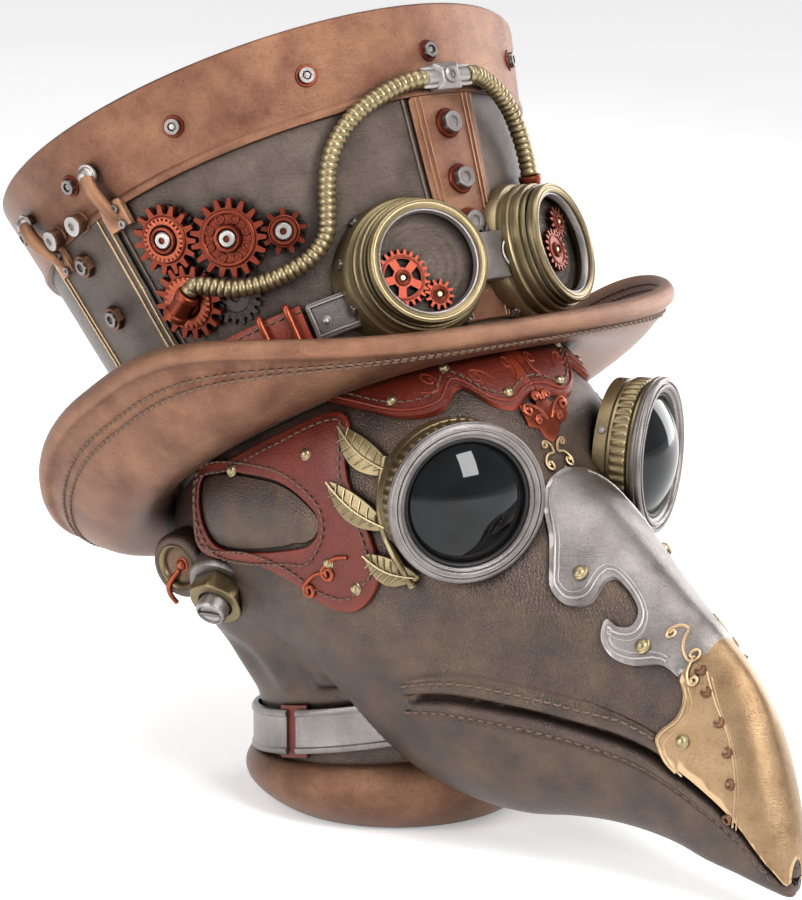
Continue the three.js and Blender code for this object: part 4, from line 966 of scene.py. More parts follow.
def make_plates():
    # Nose plate: mirrored about the crest, with an embossed border.
    edge = mask_uv(spline2(NOSE_EDGE, 70))
    low = mask_uv([(-151, 83)])[0]
    half = np.vstack([[[edge[0, 0] - 0.028, 0.0]], [[edge[0, 0] - 0.02, edge[0, 1] * 0.6]], edge,
                      [[low[0], edge[-1, 1] * 0.5]], [[low[0] + 0.004, 0.0]]])
    loop = np.vstack([half, (half * [1, -1])[::-1][1:-1]])
    laid("nose plate", "nose_plate", 1, loop, "silver", thick=1.8)
    border = Pile()
    span = len(edge)
    for away, radius in ((2.0, 0.45), (3.6, 0.28)):
        line = inset(loop, away)[4:span - 1]
        bead(border, 1, line, 2.2, radius, close=False)
        bead(border, -1, line, 2.2, radius, close=False)
    border.make("nose plate border", "silver", "bust")
    # Beak sheath: from the seam forwards over the upper beak to the tip.
    seam = mask_uv(spline2(SHEATH_EDGE, 26))
    mouth = MOUTH_UV[MOUTH_UV[:, 0] > seam[-1, 0] + 0.004]
    size = np.interp(mouth[:, 0], np.linspace(0, 1, FINE + 1),
                     np.linalg.norm(CREST - UNDER[:, 1:], axis=1) / 2)
    lip = np.stack([mouth[:, 0], mouth[:, 1] - 2.0 / size], 1)
    lip = lip[lip[:, 0] < 0.955]
    last = lip[-1, 1]
    end = [[0.965, last], [0.975, last], [0.984, last * 0.97], [0.985, last * 0.6], [0.985, last * 0.3],
           [0.985, 0.0]]
    half = np.vstack([[[seam[0, 0] + 0.004, 0.0]], seam, lip, end])
    loop = np.vstack([half, (half * [1, -1])[::-1][1:-1]])
    laid("beak sheath", "beak_sheath", 1, loop, "gilt", thick=1.6, dome=0.2)
    rings, welts = Pile(), Pile()
    for side in (1, -1):
        bead(welts, side, seam + [0.004, 0], 1.9, 0.55, close=False)
        bead(welts, side, seam + [0.014, 0], 1.8, 0.35, close=False)
        inner = mask_uv(spline2([(-153, 79), (-158, 71), (-165, 60), (-169, 46), (-168.5, 33)], 30))
        bead(welts, side, inner, 1.75, 0.42, close=False)
        bead(welts, side, inner + [0.009, 0], 1.75, 0.3, close=False)
        for k in np.linspace(0.08, 0.97, 6):
            t, a = inner[int(k * (len(inner) - 1))]
            p = skin(side)(t - 0.014, a, 1.5)
            n = skin(side)(t - 0.014, a, 2.5) - p
            rings.put(*lathe([(0.7, -0.4), (0.7, 0.7), (1.2, 1.1), (1.8, 0.9), (2.0, 0.2), (2.0, -0.6)],
                             20), basis(p, n))
            rings.put(*lathe([(0.001, 0.1), (0.72, 0.1)], 12), basis(p, n))
    welts.make("sheath seam", "gilt", "bust")
    rings.make("sheath rings", "bronze", "bust")


def make_trims():
    thread, studs, silver_studs, welts, scrolls, gilding = Pile(), Pile(), Pile(), Pile(), Pile(), Pile()
    outer = mask_uv(spline2(CHEEK_OUTER, 90, True))
    window = mask_uv(spline2(CHEEK_WINDOW, 60, True))
    for name, side in (("right", -1), ("left", 1)):
        laid(f"cheek trim {name}", f"cheek_trim_{name}", side, outer, "red_leather", (window,),
             thick=1.8, dome=0.5)
        stitches_on(thread, side, inset(outer, 1.8), 2.5)
        stitches_on(thread, side, inset(window, -1.7), 2.5)
        laid(f"cheek pad {name}", None, side, inset(window, 0.5), "dark_leather", thick=0.9, dome=2.3,
             lift=0.0)
        for y, z in ((-20, 137), (-33, 103), (12, 127), (-44, 96)):
            studs.put(*stud_shape(1.9, 1.5), on_mask(side, y, z, 2.0))
        for size, a, b in ((2.6, (-41, 106), (-33, 100)), (2.4, (-33, 100), (-25, 93))):
            scrolls.put(*sweep(curl(side, a, b, 1.4, size, 2.8), 0.75, 8))
        # Leaves: a crowned blade with a midrib and side veins.
        blades, veins = Pile(), Pile()
        for ty, tz, ry, rz in LEAVES:
            tip, root = np.array([ty, tz], float), np.array([ry, rz], float)
            along = root - tip
            across = np.array([-along[1], along[0]]) / np.linalg.norm(along)
            k = np.linspace(0, 1, 16)
            half = 4.3 * np.sin(math.pi * np.minimum(1, 0.03 + 0.93 * k)) ** 0.85 + 0.1
            bend = 1.6 * np.sin(math.pi * k)
            mid = tip + along * k[:, None] + across * bend[:, None]
            shape = np.vstack([mid + across * half[:, None], (mid - across * half[:, None])[::-1]])
            verts, faces = panel(skin(side), mask_uv(shape), (), 1.1, 1.9, 1.5, 0.8, MASK_SCALE)
            blades.put(verts, faces)
            rib = mask_uv(mid)
            veins.put(*sweep(curve3(skin(side)(rib[:, 0], rib[:, 1], 4.3), 40), 0.42, 6))
            for j in range(3, 14, 2):
                for turn in (1, -1):
                    end = mid[j] - along / np.linalg.norm(along) * 2.0 + across * turn * half[j] * 0.85
                    uv = mask_uv([mid[j], (mid[j] + end) / 2, end])
                    veins.put(*sweep(skin(side)(uv[:, 0], uv[:, 1], np.array([4.2, 4.15, 3.75])), 0.24,
                                     5))
        stem = mask_uv(spline2([(-49, 139), (-53, 118), (-65, 99)], 24))
        blades.put(*sweep(skin(side)(stem[:, 0], stem[:, 1], 2.8), 1.5, 8))
        blades.make(f"leaf spray {name}", "brass", "bust", (f"leaf_spray_{name}",), bevel=0.2)
        veins.make(f"leaf veins {name}", "brass", "bust")
        # Brow: the scalloped red leather under the hat.
        low = spline2(BROW_EDGE, 60)
        shape = np.vstack([low, [(57, 168), (40, 172), (0.2, 174)]])
        uv = mask_uv(shape, (0, 2))
        laid(f"brow trim {name}", f"brow_trim_{name}", side, uv, "red_leather", thick=1.9, dome=0.4)
        edge = mask_uv(low + [0, 1.5], (0, 2))
        bead(welts, side, edge, 2.4, 0.5, close=False)
        stitches_on(thread, side, mask_uv(low + [0, 3.4], (0, 2)), 2.6, close=False)
        for x, z in ((43, 155.5), (26, 164.5), (12, 156.5)):
            studs.put(*stud_shape(1.7, 1.4), on_mask(side, x, z, 2.1, (0, 2)))
        for a, b, size in (((14, 160), (19, 162), 1.9), ((36, 158), (32, 161), 1.9),
                           ((6, 159), (5, 164), 1.8)):
            welts.put(*sweep(curl(side, a, b, 1.3, size, 2.3, (0, 2)), 0.5, 6))
        # Nose plate studs, and gilt filigree between the eyes and on the beak.
        for y, z in ((-107, 105), (-132, 85)):
            silver_studs.put(*stud_shape(2.4, 1.7), on_mask(side, y, z, 2.0))
        studs.put(*stud_shape(2.1, 1.6), on_mask(side, -150.5, 58, 1.8))
        for a, b, size in (((1.0, 137), (4.5, 134), 1.7), ((1.0, 137), (3.8, 140), 1.3)):
            gilding.put(*sweep(curl(side, a, b, 1.2, size, 0.9, (0, 2)), 0.5, 6))
        for a, b, size in (((-143, 90), (-147.5, 83), 2.0), ((-143, 90), (-139, 89), 1.5),
                           ((-148, 82), (-150, 76), 1.5)):
            gilding.put(*sweep(curl(side, a, b, 1.3, size, 2.5), 0.6, 6))
    thread.make("trim stitches", "thread", "bust")
    studs.make("brass studs", "brass", "bust")
    silver_studs.make("nose plate studs", "brass", "bust")
    welts.make("brow embossing", "red_leather", "bust")
    scrolls.make("cheek scrolls", "red_copper", "bust")
    gilding.make("gilt filigree", "gilt", "bust")
    # Emblem between the eyes.
    half = mask_uv([(x, z) for x, z in EMBLEM], (0, 2))
    half[0, 1] = half[-1, 1] = 0.0
    half[:, 1] = np.abs(half[:, 1])
    loop = np.vstack([half, (half * [1, -1])[::-1][1:-1]])
    laid("brow emblem", "brow_emblem", 1, loop, "red_copper", step=1.0, thick=2.0, dome=0.8)
    curls = Pile()
    for side in (1, -1):
        for a, b, size in (((1, 146), (7.5, 150), 1.9), ((1, 146), (4.5, 146.5), 1.3),
                           ((0.6, 152), (2.4, 153.5), 1.2)):
            curls.put(*sweep(curl(side, a, b, 1.3, size, 2.9, (0, 2)), 0.6, 8))
    curls.make("emblem scrolls", "red_copper", "bust")
    # Mouth: a row of stitches along each lip.
    lips = Pile()
    size = np.interp(MOUTH_UV[:, 0], np.linspace(0, 1, FINE + 1),
                     np.linalg.norm(CREST - UNDER[:, 1:], axis=1) / 2)
    for off in (5.0, -5.0):
        line = np.stack([MOUTH_UV[:, 0], MOUTH_UV[:, 1] - off / size], 1)
        line = line[line[:, 0] < (0.8 if off > 0 else 0.93)]
        for side in (1, -1):
            stitches_on(lips, side, line, 0.55, 2.2, 1.2, 0.42, close=False)
    lips.make("mouth stitches", "thread", "bust")


# ---- Eyes and ears ------------------------------------------------------------------
EYE_AT, EYE_YAW = (46.9, -82, 129.5), 25  # middle of a rim's front on the left, outward turn
EAR_AT, EAR_AXIS = (60, 25, 81), (0.78, -0.28, -0.56)
LENS_R, LENS_RISE, LENS_EDGE = 20, 7, -2.6


def make_eyes():
    dome_r = (LENS_R ** 2 + LENS_RISE ** 2) / (2 * LENS_RISE)
    cap = [(20.4, -6.0), (20.4, -3.2)]
    for r in np.linspace(LENS_R, 0.01, 26):
        cap.append((r, LENS_EDGE + LENS_RISE - dome_r + math.sqrt(dome_r ** 2 - r ** 2)))
    rim = [(21.5, -4), (21.5, -1.6), (22.0, -0.9), (22.9, -0.7), (23.1, 0.0), (23.7, 0.3), (24.4, 0.1),
           (24.6, -0.55), (25.1, -0.55), (25.3, 0.0), (26.3, 0.0), (26.9, -0.6), (27, -1.3), (26.6, -1.6),
           (26.6, -2.1), (27, -2.4), (27, -3.5), (26.5, -4.0)]
    barrel = [(20.4, -4.4), (24.9, -4.4), (25.0, -5.2), (24.6, -5.5), (25.7, -5.9), (25.9, -6.6),
              (25.9, -10.6),
              (25.7, -11.3), (24.6, -11.7), (24.6, -12.6), (25.6, -13), (25.6, -17.3), (20.4, -17.3)]
    gasket = [(20.0, -4.2), (20.1, -2.6), (20.5, -1.7), (21.1, -1.4), (21.6, -1.8), (21.6, -4.2)]
    for name, side, body in (("right", -1, "eyepiece_r"), ("left", 1, "eyepiece_l")):
        yaw = math.radians(EYE_YAW) * side
        out = (math.sin(yaw), -math.cos(yaw), 0)
        place = basis((EYE_AT[0] * side, *EYE_AT[1:]), out)

        def knurl(i, turn):
            return 0.38 * np.cos(52 * turn) * (i in (5, 6))
        for label, prof, finish, node, wave, around in (
                ("eye rim", rim, "silver", f"eye_rim_{name}", None, 128),
                ("eye barrel", barrel, "brass", f"eye_barrel_{name}", knurl, 416),
                ("eye gasket", gasket, "gasket", None, None, 96),
                ("lens", cap, "lens_glass", f"lens_{name}", None, 96)):
            verts, faces = lathe(prof, around, wave)
            pile = Pile().put(verts, faces, place)
            pile.make(f"{label} {name}", finish, body, (node,) if node else (),
                  sharp=50 if label != "lens" else 80)
        # Six small screws stand round the barrel.
        screws = Pile()
        for k in range(6):
            a = TAU * (k + 0.5) / 6
            p = (25.5 * math.cos(a), 25.5 * math.sin(a), -14.8)
            screws.put(*nut_shape(1.4, 0.5, 0.5), place @ basis(p, (math.cos(a), math.sin(a), 0)))
        screws.make(f"barrel screws {name}", "silver", body)
        # Ear: hex nut on a washer, a slotted bolt, and the dark cup behind.
        ear = basis((EAR_AT[0] * side, *EAR_AT[1:]), (EAR_AXIS[0] * side, *EAR_AXIS[1:]))
        pile = Pile().put(*nut_shape(10.7, 7, 5.9), ear)
        pile.make(f"ear nut {name}", "brass", "bust", (f"ear_nut_{name}",), bevel=0.5)
        pile = Pile()
        pile.put(*lathe([(5.6, -2), (5.6, 10.8), (5.2, 11.6), (4.4, 12), (4.2, 11.4), (3.4, 11.2),
                         (0.001, 11.2)], 40), ear)
        bar = [(-4, -0.7, 11), (4, -0.7, 11), (4, 0.7, 11), (-4, 0.7, 11), (-4, -0.7, 12), (4, -0.7, 12),
               (4, 0.7, 12), (-4, 0.7, 12)]
        box = [(0, 1, 2, 3), (7, 6, 5, 4), (0, 4, 5, 1), (1, 5, 6, 2), (2, 6, 7, 3), (3, 7, 4, 0)]
        pile.put(bar, box, ear)
        pile.make(f"ear bolt {name}", "silver", "bust", (f"ear_bolt_{name}",), bevel=0.2)
        pile = Pile().put(*lathe([(6.1, 0.1), (12.6, 0.1), (13.2, -0.6), (13.4, -2.2), (13.4, -7)], 48),
                          ear)
        pile.make(f"ear washer {name}", "silver", "bust", sharp=40)
        # The cup sits behind and over the nut, just under the brim.
        cup = basis((60 * side, 44, 87), (0.97 * side, -0.12, -0.12)) @ Matrix.Scale(0.8, 4)
        prof = [(0.001, 3.0), (6, 3.2), (8.4, 4.2), (9.6, 6.2), (11.4, 7.0), (13.4, 6.4), (14.6, 4.6),
                (14.9, 1), (14.9, -6)]
        pile = Pile().put(*lathe(prof, 64), cup)
        pile.make(f"ear cup {name}", "dark_leather", "bust", sharp=60)
        pile = Pile().put(*lathe([(8.0, 3.0), (8.3, 5.4), (9.2, 6.6), (10.0, 7.1), (10.6, 6.4)], 64), cup)
        pile.make(f"ear cup trim {name}", "brass", "bust", sharp=60)
        pile = Pile().put(*stud_shape(2.6, 2.0), cup @ Matrix.Translation((0, 0, 3.2)))
        pile.put(*sweep(curve3([(-2, -3, 3.6), (-5, -9, 7.6), (-6, -14, 6.2), (-6, -19, 3)], 24), 1.2,
                        8), cup)
        pile.make(f"ear clip {name}", "red_copper", "bust", sharp=60)


# ---- Gears --------------------------------------------------------------------------
GEARS = {"drive": (59.1, 59.5, 17), "rear": (72.9, 68.3, 15), "front": (46.9, 54.6, 9),
         "lower": (74.9, 46.6, 16)}
GEAR_STAND, GEAR_T = 1.6, 2.4


def torus_rows(radius, tube, lift):
    return [(radius + tube * math.cos(b), lift + tube * math.sin(b)) for b in np.linspace(math.pi, 0, 9)]


def make_gears():
    for name, (phi, h, teeth) in GEARS.items():
        place = crown_place(phi, h, GEAR_STAND)
        face = GEAR_T
        root = 1.42 * teeth / 2 - 2.1
        detail, dark = Pile(), Pile()
        rim = [(root - 0.2, face - 0.3), *torus_rows(root - 1.1, 0.8, face), (root - 2.1, face - 0.3)]
        detail.put(*lathe(rim, 72), place)
        detail.put(*lathe([(3.3, face - 0.2), (3.3, face + 1.5), (3.7, face + 1.9), (4.4, face + 1.8),
                           (4.7, face + 1.2),
                           (4.9, face - 0.2)], 40), place)
        if name == "drive":
            for k in range(8):
                a = TAU * k / 8
                spot = place @ Matrix.Translation((6.9 * math.cos(a), 6.9 * math.sin(a), 0))
                detail.put(*lathe([(1.0, face + 0.1)] + torus_rows(1.45, 0.42, face + 0.1), 20), spot)
        if name in ("rear", "lower"):
            def fine(i, turn):
                return 0.45 * (i in (1, 2)) * np.sign(np.cos(26 * turn))
            r = 7.1 if name == "rear" else 8.4
            detail.put(*lathe([(r + 0.3, face - 0.2), (r, face), (r, face + 0.9), (r - 0.9, face + 1.1),
                               (5.4, face + 1.0),
                               (5.2, face - 0.2)], 208, fine), place)
        if name == "front":
            detail.put(*lathe([(4.9, face)] + torus_rows(5.0, 0.5, face + 0.1), 40), place)
        body = f"{name}_gear"
        detail.make(f"gear boss {name}", "red_copper", body, sharp=40)
        # The stud that carries it: a slotted silver cap on the post.
        stud = Pile()
        if name != "lower":
            stud.put(*lathe([(2.9, face + 0.3), (2.9, face + 1.6), (2.5, face + 2.0), (1.2, face + 2.1),
                             (1.1, face + 1.3),
                             (0.001, face + 1.3)], 24), place)
            stud.make(f"stud cap {name}", "silver", "hat", sharp=40)
        # A dark second wheel set behind each gear, whose tips show between the teeth: painted shadow,
        # standing for the shade the gear casts on the crown.
        outer = 1.42 * teeth / 2 + 0.1

        def teeth_wave(i, turn):
            return 0.75 * (0 < i < 3) * np.sign(np.cos(teeth * 2 * turn))
        dark.put(*lathe([(2.9, 0.02), (outer, 0.02), (outer, 0.9), (2.9, 0.9)], 288, teeth_wave),
                 crown_place(phi, h, 0.35))
        dark.make(f"back wheel {name}", "dark_steel_and_shadow", "hat", sharp=30)
    # Loose teeth of a hidden wheel low between the drive and the lower gear.
    hidden = Pile()

    def cog(i, turn):
        return 0.9 * (0 < i < 3) * np.sign(np.cos(18 * turn))
    hidden.put(*lathe([(2, 0), (8.5, 0), (8.5, 0.8), (5.5, 0.95), (5.2, 0.5), (2, 0.5)], 216, cog),
               crown_place(64.5, 41.5, 0.1))
    hidden.make("hidden wheel", "dark_steel_and_shadow", "hat", sharp=30)


# ---- Hoses --------------------------------------------------------------------------
LONG_HOSE = [(62, 42, 1.6), (56, 40.4, 0), (49, 40.6, 0), (43, 42.6, 0), (38.6, 47.5, 0), (36.6, 54, 0),
             (35, 61, 0), (33, 68, 0), (29.5, 75.5, 0), (24.5, 81.5, 0), (18.5, 85.6, 0), (12, 88.4, 0)]
SHORT_HOSE = [(-12, 88, 0), (-16.5, 84.5, 0), (-21.5, 78, 0), (-25, 70, 0), (-27, 62, 0), (-27.5, 56, 0)]
HOSE_STAND = 5.4
HOSE_PITCH = 2.4
HOSE_R = 3.0


def hose_ribs(s):
    return 0.62 * abs(math.sin(math.pi * s / HOSE_PITCH)) ** 0.55 - 0.5


def make_hoses():
    elbow = crown_place(74.9, 46.6, GEAR_STAND)
    across = Matrix.Translation((0, 0, 6.9)) @ Matrix.Rotation(math.pi / 2, 4, "Y")
    pipe = elbow @ Matrix.Rotation(math.radians(25), 4, "Z") @ across
    shape = Pile()
    shape.put(*lathe([(1.6, -1.3), (2.8, -1.2), (2.8, -0.6), (1.6, -0.5), (1.6, 2.6), (3.0, 2.8),
                      (3.0, 4.4), (2.2, 6)], 32), elbow)
    shape.put(*lathe([(3.0, -5.5), (3.6, -5.5), (4.3, -5.2), (4.3, -3.4), (3.6, -3.0), (3.5, 2.8),
                      (4.1, 3.1), (4.1, 5.0),
                      (3.6, 5.5), (2.4, 5.5), (2.3, 4.4), (0.001, 4.4)], 40), pipe)
    shape.put(*lathe([(0.001, -4.7), (2.9, -4.7), (3.0, -5.5)], 40), pipe)
    shape.make("hose elbow", "red_copper", "hat", ("hose_elbow",), sharp=40, bevel=0.2)
    block = crown_place(0, 90, 2.1)
    rise = 3.5
    mouth = [pipe @ Vector((0, 0, 5.7 + k)) for k in (0, 3)]
    reach = 11 / 2 + 4.6

    def ends(side):
        return [block @ Vector((side * (reach + k), 0, rise)) for k in (0, 3)]
    for name, route in (
            ("long_hose", mouth + [crown(p, h, HOSE_STAND + e) for p, h,
                                   e in LONG_HOSE] + ends(-1)[::-1]),
            ("short_hose", ends(1) + [crown(p, h, HOSE_STAND + e) for p, h, e in SHORT_HOSE])):
        path = even(curve3([tuple(p) for p in route], 300), 0.3)
        verts, faces = sweep(path, HOSE_R, 20, hose_ribs)
        piece(name.replace("_", " "), verts, faces, "brass", "hat", (name,), sharp=70)
    # Coupling: a chamfered block with a round boss and three bright rods to each side.
    w, d, tall = 5.5, 6.5, 4.5
    box = [(x * (w - cut), y * (tall - cut), z) for cut, z in ((0, 0.2), (0, d - 1.8), (2, d))
           for x, y in ((-1, -1), (1, -1), (1, 1), (-1, 1))]
    sides = [(3, 2, 1, 0), (8, 9, 10, 11)]
    for k in range(4):
        m = (k + 1) % 4
        sides += [(k, m, m + 4, k + 4), (k + 4, m + 4, m + 8, k + 8)]
    shape = Pile().put(box, sides, block)
    across = block @ Matrix.Translation((0, 0, rise)) @ Matrix.Rotation(math.pi / 2, 4, "Y")
    shape.put(*lathe([(0.001, -9.5), (2.6, -9.5), (2.6, 9.5), (0.001, 9.5)], 32), across)
    for y in (-2.9, 0.0, 2.9):
        for turn in (1, -1):
            line = [block @ Vector((turn * x, y, d - 2.2 - 0.06 * x)) for x in (3, 6, 9.4, 11.2)]
            shape.put(*sweep([tuple(p) for p in line], [0.9, 0.9, 0.9, 0.6], 10))
    shape.put(*lathe([(3.0, d - 0.5), (3.0, d + 0.4), (2.5, d + 0.9), (1.4, d + 0.9), (1.2, d + 0.1),
                      (0.001, d + 0.1)], 32), block)
    shape.make("hose coupling", "silver", "hat", ("hose_coupling",), sharp=35, bevel=0.3)
    # Socket that takes the short hose, with a bright ring.
    foot = [crown(-27.5, 56, HOSE_STAND), crown(-28.5, 52, HOSE_STAND - 0.5),
            crown(-30, 48.5, HOSE_STAND - 1.5)]
    socket = sweep(curve3([tuple(p) for p in foot], 12), [4.0] * 3 + [3.7] * 7 + [4.1, 4.3, 4.3], 24)
    piece("hose socket", *socket, "red_copper", "hat", sharp=50)


# ---- Goggles ------------------------------------------------------------------------
GOGGLE_AT, GOGGLE_DROP, GOGGLE_YAW = (32, -92, 26.7), 8, 20
CUP_LOWEST = 0.6  # the cup stops this high over the crown's foot, on top of the brim
CUP_INSIDE = 0.5  # and this far from the middle of the hat


def goggle_place(side):
    drop, yaw = math.radians(GOGGLE_DROP), math.radians(GOGGLE_YAW) * side
    out = (math.cos(drop) * math.sin(yaw), -math.cos(drop) * math.cos(yaw), -math.sin(drop))
    return basis((GOGGLE_AT[0] * side, *GOGGLE_AT[1:]), out)


def in_crown(p, inner=1.2):
    """Whether a point in the hat's frame lies deeper than this in the crown's wall."""
    k = p[2] / CROWN_H
    rx, ry = FOOT[0] + (HEAD[0] - FOOT[0]) * k - inner, FOOT[1] + (HEAD[1] - FOOT[1]) * k - inner
    return (p[0] / rx) ** 2 + (p[1] / ry) ** 2 < 1


def cup_ends(p, side):
    return in_crown(p) or p.z < CUP_LOWEST or p.x * side < CUP_INSIDE


CUP = [(20.2, -3.9), (21.5, -3.9), (21.7, -4.6), (20.9, -4.9), (20.9, -5.7), (22.3, -6.0),
       (22.6, -6.6), (22.6, -8.2), (22.0, -8.6), (22.0, -9.2), (22.9, -9.5), (23.3, -10), (23.3, -12),
       (22.7, -12.4), (22.7, -13.2), (24.2, -13.8), (24.9, -15), (25.2, -17), (25.4, -19), (25.6, -21),
       (26.0, -23), (26.2, -24), (25.8, -24.6), (25.8, -25.4), (26.6, -26), (26.7, -28), (26.7, -30),
       (26.6, -32)]
RING = [(17.8, -3.6), (17.8, -0.5), (18.4, -0.1), (19.1, 0.0), (19.35, -0.3), (19.8, -0.3),
        (20.1, 0.0), (20.7, -0.15), (21, -0.6), (21, -1.4), (20.6, -1.7), (20.6, -2.1), (21, -2.4),
        (21, -3.2), (20.6, -3.6), (17.8, -3.6)]
WHEELS = {"right": ((-9.2, -2.9, 24, "large_wheel_r"), (1.84, -11.18, 12, "small_wheel_r")),
          "left": ((1, -1.5, 18, "large_wheel_l"), (7.181, 8.698, 13, "small_wheel_l"))}


def make_goggles():
    for name, side in (("right", -1), ("left", 1)):
        local = goggle_place(side)
        place = HAT @ local
        around = 144
        turn = np.arange(around) * TAU / around
        net = np.zeros((len(CUP), around, 3))
        for j, b in enumerate(turn):
            stop = None
            for i, (r, z) in enumerate(CUP):
                if stop is not None:
                    z = stop
                p = local @ Vector((r * math.cos(b), r * math.sin(b), z))
                if stop is None and cup_ends(p, side):
                    z_prev = CUP[max(i - 1, 0)][1]
                    for k in range(12):
                        z_try = z_prev + (z - z_prev) * (k + 1) / 12
                        q = local @ Vector((r * math.cos(b), r * math.sin(b), z_try))
                        if cup_ends(q, side):
                            break
                    stop = z_try
                    p = q
                net[i, j] = p
        verts, faces = grid(to_world(net), close_v=True)
        shape = Pile().put(verts, faces)
        shape.put(*lathe([(20.2, -3.9), (20.2, -8.2), (0.001, -8.2)], 72), place)
        rounds = [(r, -6.5 + 0.12 * math.sin(1.9 * r)) for r in np.linspace(1, 19.6, 24)]
        beaten = [(0.001, -6.5), *rounds, (20.1, -6.6)]

        def hammer(i, turn, phase=side):
            return 0.25 * np.sin(turn * 9 + i * 2.4 + phase) * (0 < i < 24)
        dial = Pile().put(*lathe(beaten, 120, hammer), place)
        dial.make(f"goggle dial {name}", "pewter", "hat", (f"goggle_dial_{name}",), sharp=60)
        # Pins for the wheels.
        for x, y, _, _ in WHEELS[name]:
            shape.put(*lathe([(1.1, -8.2), (1.1, -4.3), (0.7, -4.0), (0.001, -4.0)], 20),
                      place @ Matrix.Translation((x, y, 0)))
        shape.make(f"goggle cup {name}", "brass", "hat", (f"goggle_cup_{name}",), sharp=35)
        shape = Pile().put(*lathe(RING, 128), place)
        shape.make(f"goggle ring {name}", "brass", "hat", (f"goggle_ring_{name}",), sharp=40)
        shape = Pile().put(*lathe([(17.75, -1.0), (17.2, -1.1), (16.8, -1.8), (16.7, -3.3),
                                   (17.75, -3.3)], 96), place)
        shape.make(f"goggle bezel {name}", "silver", "hat", sharp=40)
        screws = Pile()
        for k in range(10):
            b = TAU * (k + 0.5) / 10
            n = Vector((math.cos(b), math.sin(b), 0.12))
            p = Vector((25.0 * math.cos(b), 25.0 * math.sin(b), -17.5))
            q = local @ (p * 1.0)
            if in_crown(q, -2) or q.z < 5 or q.x * side < 3:
                continue
            screws.put(*nut_shape(1.9, 1.3, 0.7), place @ basis(p, n))
        if screws.verts:
            screws.make(f"goggle screws {name}", "silver", "hat")
        for x, y, teeth, body in WHEELS[name]:
            centre = place @ Matrix.Translation((x, y, -6.1))
            r = 0.75 * teeth / 2
            hub = Pile().put(*lathe([(1.5, 1.5), (1.5, 2.2), (2.0, 2.5), (2.6, 2.2), (2.8, 1.5)], 32),
                             centre)
            hub.put(*lathe([(r - 1.0, 1.5)] + torus_rows(r - 1.7, 0.4, 1.6) + [(r - 2.4, 1.5)], 48),
                    centre)
            hub.make(f"wheel hub {body}", "red_copper", body, sharp=40)
    # Bridge: a silver strap drawn in at the middle.
    half = [(8.5, 35), (6.4, 32), (4.6, 29.3), (4.2, 27), (4.8, 24.5), (6.6, 21.6), (8.8, 19)]
    outline = np.array(half + [(-p, h) for p, h in reversed(half)], float)
    verts, faces = panel(crown, outline, (), 1.4, 6.2, 2.4, 0.9, CROWN_SCALE)
    piece("goggle bridge", verts, faces, "silver", "hat", ("goggle_bridge",), bevel=0.5)
    ridges = Pile()
    for off in (0.7, -0.7):
        line = [crown(p - off, h, 9.3) for p, h in half]
        ridges.put(*sweep(curve3([tuple(q) for q in line], 30), 0.4, 6))
        line = [crown(-p + off, h, 9.3) for p, h in half]
        ridges.put(*sweep(curve3([tuple(q) for q in line], 30), 0.4, 6))
    ridges.make("bridge ridges", "silver", "hat")
    # Strap round the crown with silver tongues and copper keepers.
    rows = [(15.5, 2.5), (15.5, 3.8), (16.3, 4.3), (28.7, 4.3), (29.5, 3.8), (29.5, 2.5)]
    phi = np.linspace(50.5, 309.5, 200)
    net = np.stack([crown(phi, np.full(200, h), np.full(200, o)) for h, o in rows], 1)
    verts, faces = grid(net, close_v=True, caps=True)
    piece("goggle strap", verts, faces, "red_leather", "hat", ("goggle_strap",), sharp=45)
    thread = Pile()
    for h in (17.4, 27.6):
        line = crown(phi, np.full(200, h), 4.35)
        normals = line - crown(phi, np.full(200, h), 3.35)
        stitch_row(thread, line, normals, 2.0, 1.2, 0.36)
    thread.make("strap stitches", "thread", "hat")
    for name, turn in (("right", 1), ("left", -1)):
        a, b = 36.5, 49.4
        outline = np.array([(a, 16.2), (b, 16.2), (b, 28.8), (a, 28.8)], float) * [turn, 1]
        verts, faces = panel(crown, outline, (), 1.6, 2.6, 1.9, 0.3, CROWN_SCALE)
        piece(f"strap end {name}", verts, faces, "silver", "hat", (f"strap_end_{name}",), bevel=0.4)
        border = Pile()
        line = [crown(p * turn, h, 4.9) for p, h in ((37, 17.6), (43, 17.6), (48.4, 17.6), (48.4, 22.5),
                                                     (48.4, 27.4), (43, 27.4), (37, 27.4))]
        border.put(*sweep([tuple(p) for p in line], 0.45, 8))
        border.put(*stud_shape(1.4, 1.0), crown_place(45.5 * turn, 22.5, 4.6))
        border.make(f"tongue border {name}", "silver", "hat")
        keeper = Pile()
        for at in (53.5, 60.5):
            ring = []
            for h, o in ((14.6, 3.4), (14.6, 5.0), (16, 5.8), (22.5, 5.9), (29, 5.8), (30.4, 5.0),
                         (30.4, 3.4), (28.5, 1.0), (22.5, 0.9), (16.5, 1.0)):
                ring.append(tuple(crown(at * turn, h, o)))
            keeper.put(*sweep(curve3(ring + [ring[0]], 60)[:-1], 1.25, 10, closed=True))
        keeper.make(f"strap keepers {name}", "red_copper", "hat", sharp=60)


# ---- Hat hardware -------------------------------------------------------------------
BAND_SCREWS, BAND_SCREW_H, BAND_SCREW_STEP = 12, 100, 29.6
FRONT_NUTS = (41, 56, 75)


